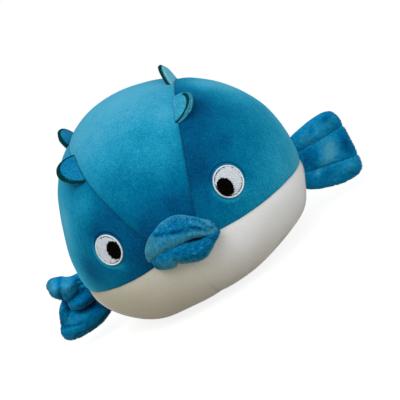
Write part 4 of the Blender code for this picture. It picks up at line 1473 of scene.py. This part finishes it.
def show_apart(tree, lit, shown, output):
    """Ends a node tree: the camera sees one shader, and all other light meets the other."""
    path = tree.nodes.new("ShaderNodeLightPath")
    mix = tree.nodes.new("ShaderNodeMixShader")
    end = tree.nodes.new(output)
    tree.links.new(path.outputs["Is Camera Ray"], mix.inputs["Fac"])
    tree.links.new(lit.outputs[0], mix.inputs[1])
    tree.links.new(shown.outputs[0], mix.inputs[2])
    tree.links.new(mix.outputs["Shader"], end.inputs["Surface"])


def make_stage():
    mesh = bpy.data.meshes.new("floor")
    half = FLOOR_HALF_WIDTH
    corners = ((-half, -half), (half, -half), (half, half), (-half, half))
    mesh.from_pydata([(x, y, FLOOR_LEVEL) for x, y in corners], [], [(0, 1, 2, 3)])
    floor = add_object("floor", mesh)
    material = bpy.data.materials.new("pale_floor")
    material.use_nodes = True
    tree = material.node_tree
    tree.nodes.clear()
    lit = coloured(tree, "ShaderNodeBsdfDiffuse", (0.48, 0.43, 0.35))
    shown = coloured(tree, "ShaderNodeBsdfDiffuse", (0.34, 0.34, 0.34))
    glow = coloured(tree, "ShaderNodeEmission", (1.0, 1.0, 1.0))
    glow.inputs["Strength"].default_value = 0.84
    both = tree.nodes.new("ShaderNodeAddShader")
    tree.links.new(shown.outputs["BSDF"], both.inputs[0])
    tree.links.new(glow.outputs["Emission"], both.inputs[1])
    show_apart(tree, lit, both, "ShaderNodeOutputMaterial")
    mesh.materials.append(material)


def make_world():
    world = bpy.data.worlds.new("studio")
    bpy.context.scene.world = world
    world.use_nodes = True
    tree = world.node_tree
    tree.nodes.clear()
    fill = coloured(tree, "ShaderNodeBackground", (0.95, 0.98, 1.0))
    fill.inputs["Strength"].default_value = 0.50
    white = coloured(tree, "ShaderNodeBackground", (1.0, 1.0, 1.0))
    show_apart(tree, fill, white, "ShaderNodeOutputWorld")


def add_lamp(name, place, size, power, colour):
    """A square soft lamp about the body's middle, turned towards it."""
    light = bpy.data.lights.new(name, "AREA")
    light.size = size
    light.energy = power
    light.color = colour
    lamp = add_object(name, light)
    lamp.location = Vector(MIDDLE) + Vector(place)
    lamp.rotation_euler = (-Vector(place)).to_track_quat("-Z", "Y").to_euler()


def make_camera():
    a, e, r = CAMERA_AZIMUTH, CAMERA_ELEVATION, CAMERA_ROLL
    back = Vector((math.sin(a) * math.cos(e), -math.cos(a) * math.cos(e), math.sin(e)))
    level_right = Vector((math.cos(a), math.sin(a), 0.0))
    level_up = back.cross(level_right)
    right = level_right * math.cos(r) + level_up * math.sin(r)
    up = level_up * math.cos(r) - level_right * math.sin(r)
    place = Vector(MIDDLE) + back * CAMERA_DISTANCE
    aim = Vector(MIDDLE) + right * FRAMING_RIGHT + up * FRAMING_UP
    back = (place - aim).normalized()
    right = (right - back * right.dot(back)).normalized()
    up = back.cross(right)
    turned = Matrix((right, up, back)).transposed().to_4x4()
    camera = add_object("camera", bpy.data.cameras.new("camera"))
    camera.matrix_world = Matrix.Translation(place) @ turned
    camera.data.lens = CAMERA_LENS
    camera.data.clip_start = 0.01
    bpy.context.scene.camera = camera


make_camera()
make_body()
make_lips()
make_fins()
make_spikes()
make_eyes()
make_stage()
make_world()
for lamp_values in LAMPS:
    add_lamp(*lamp_values)
bpy.context.scene.view_settings.view_transform = "Standard"
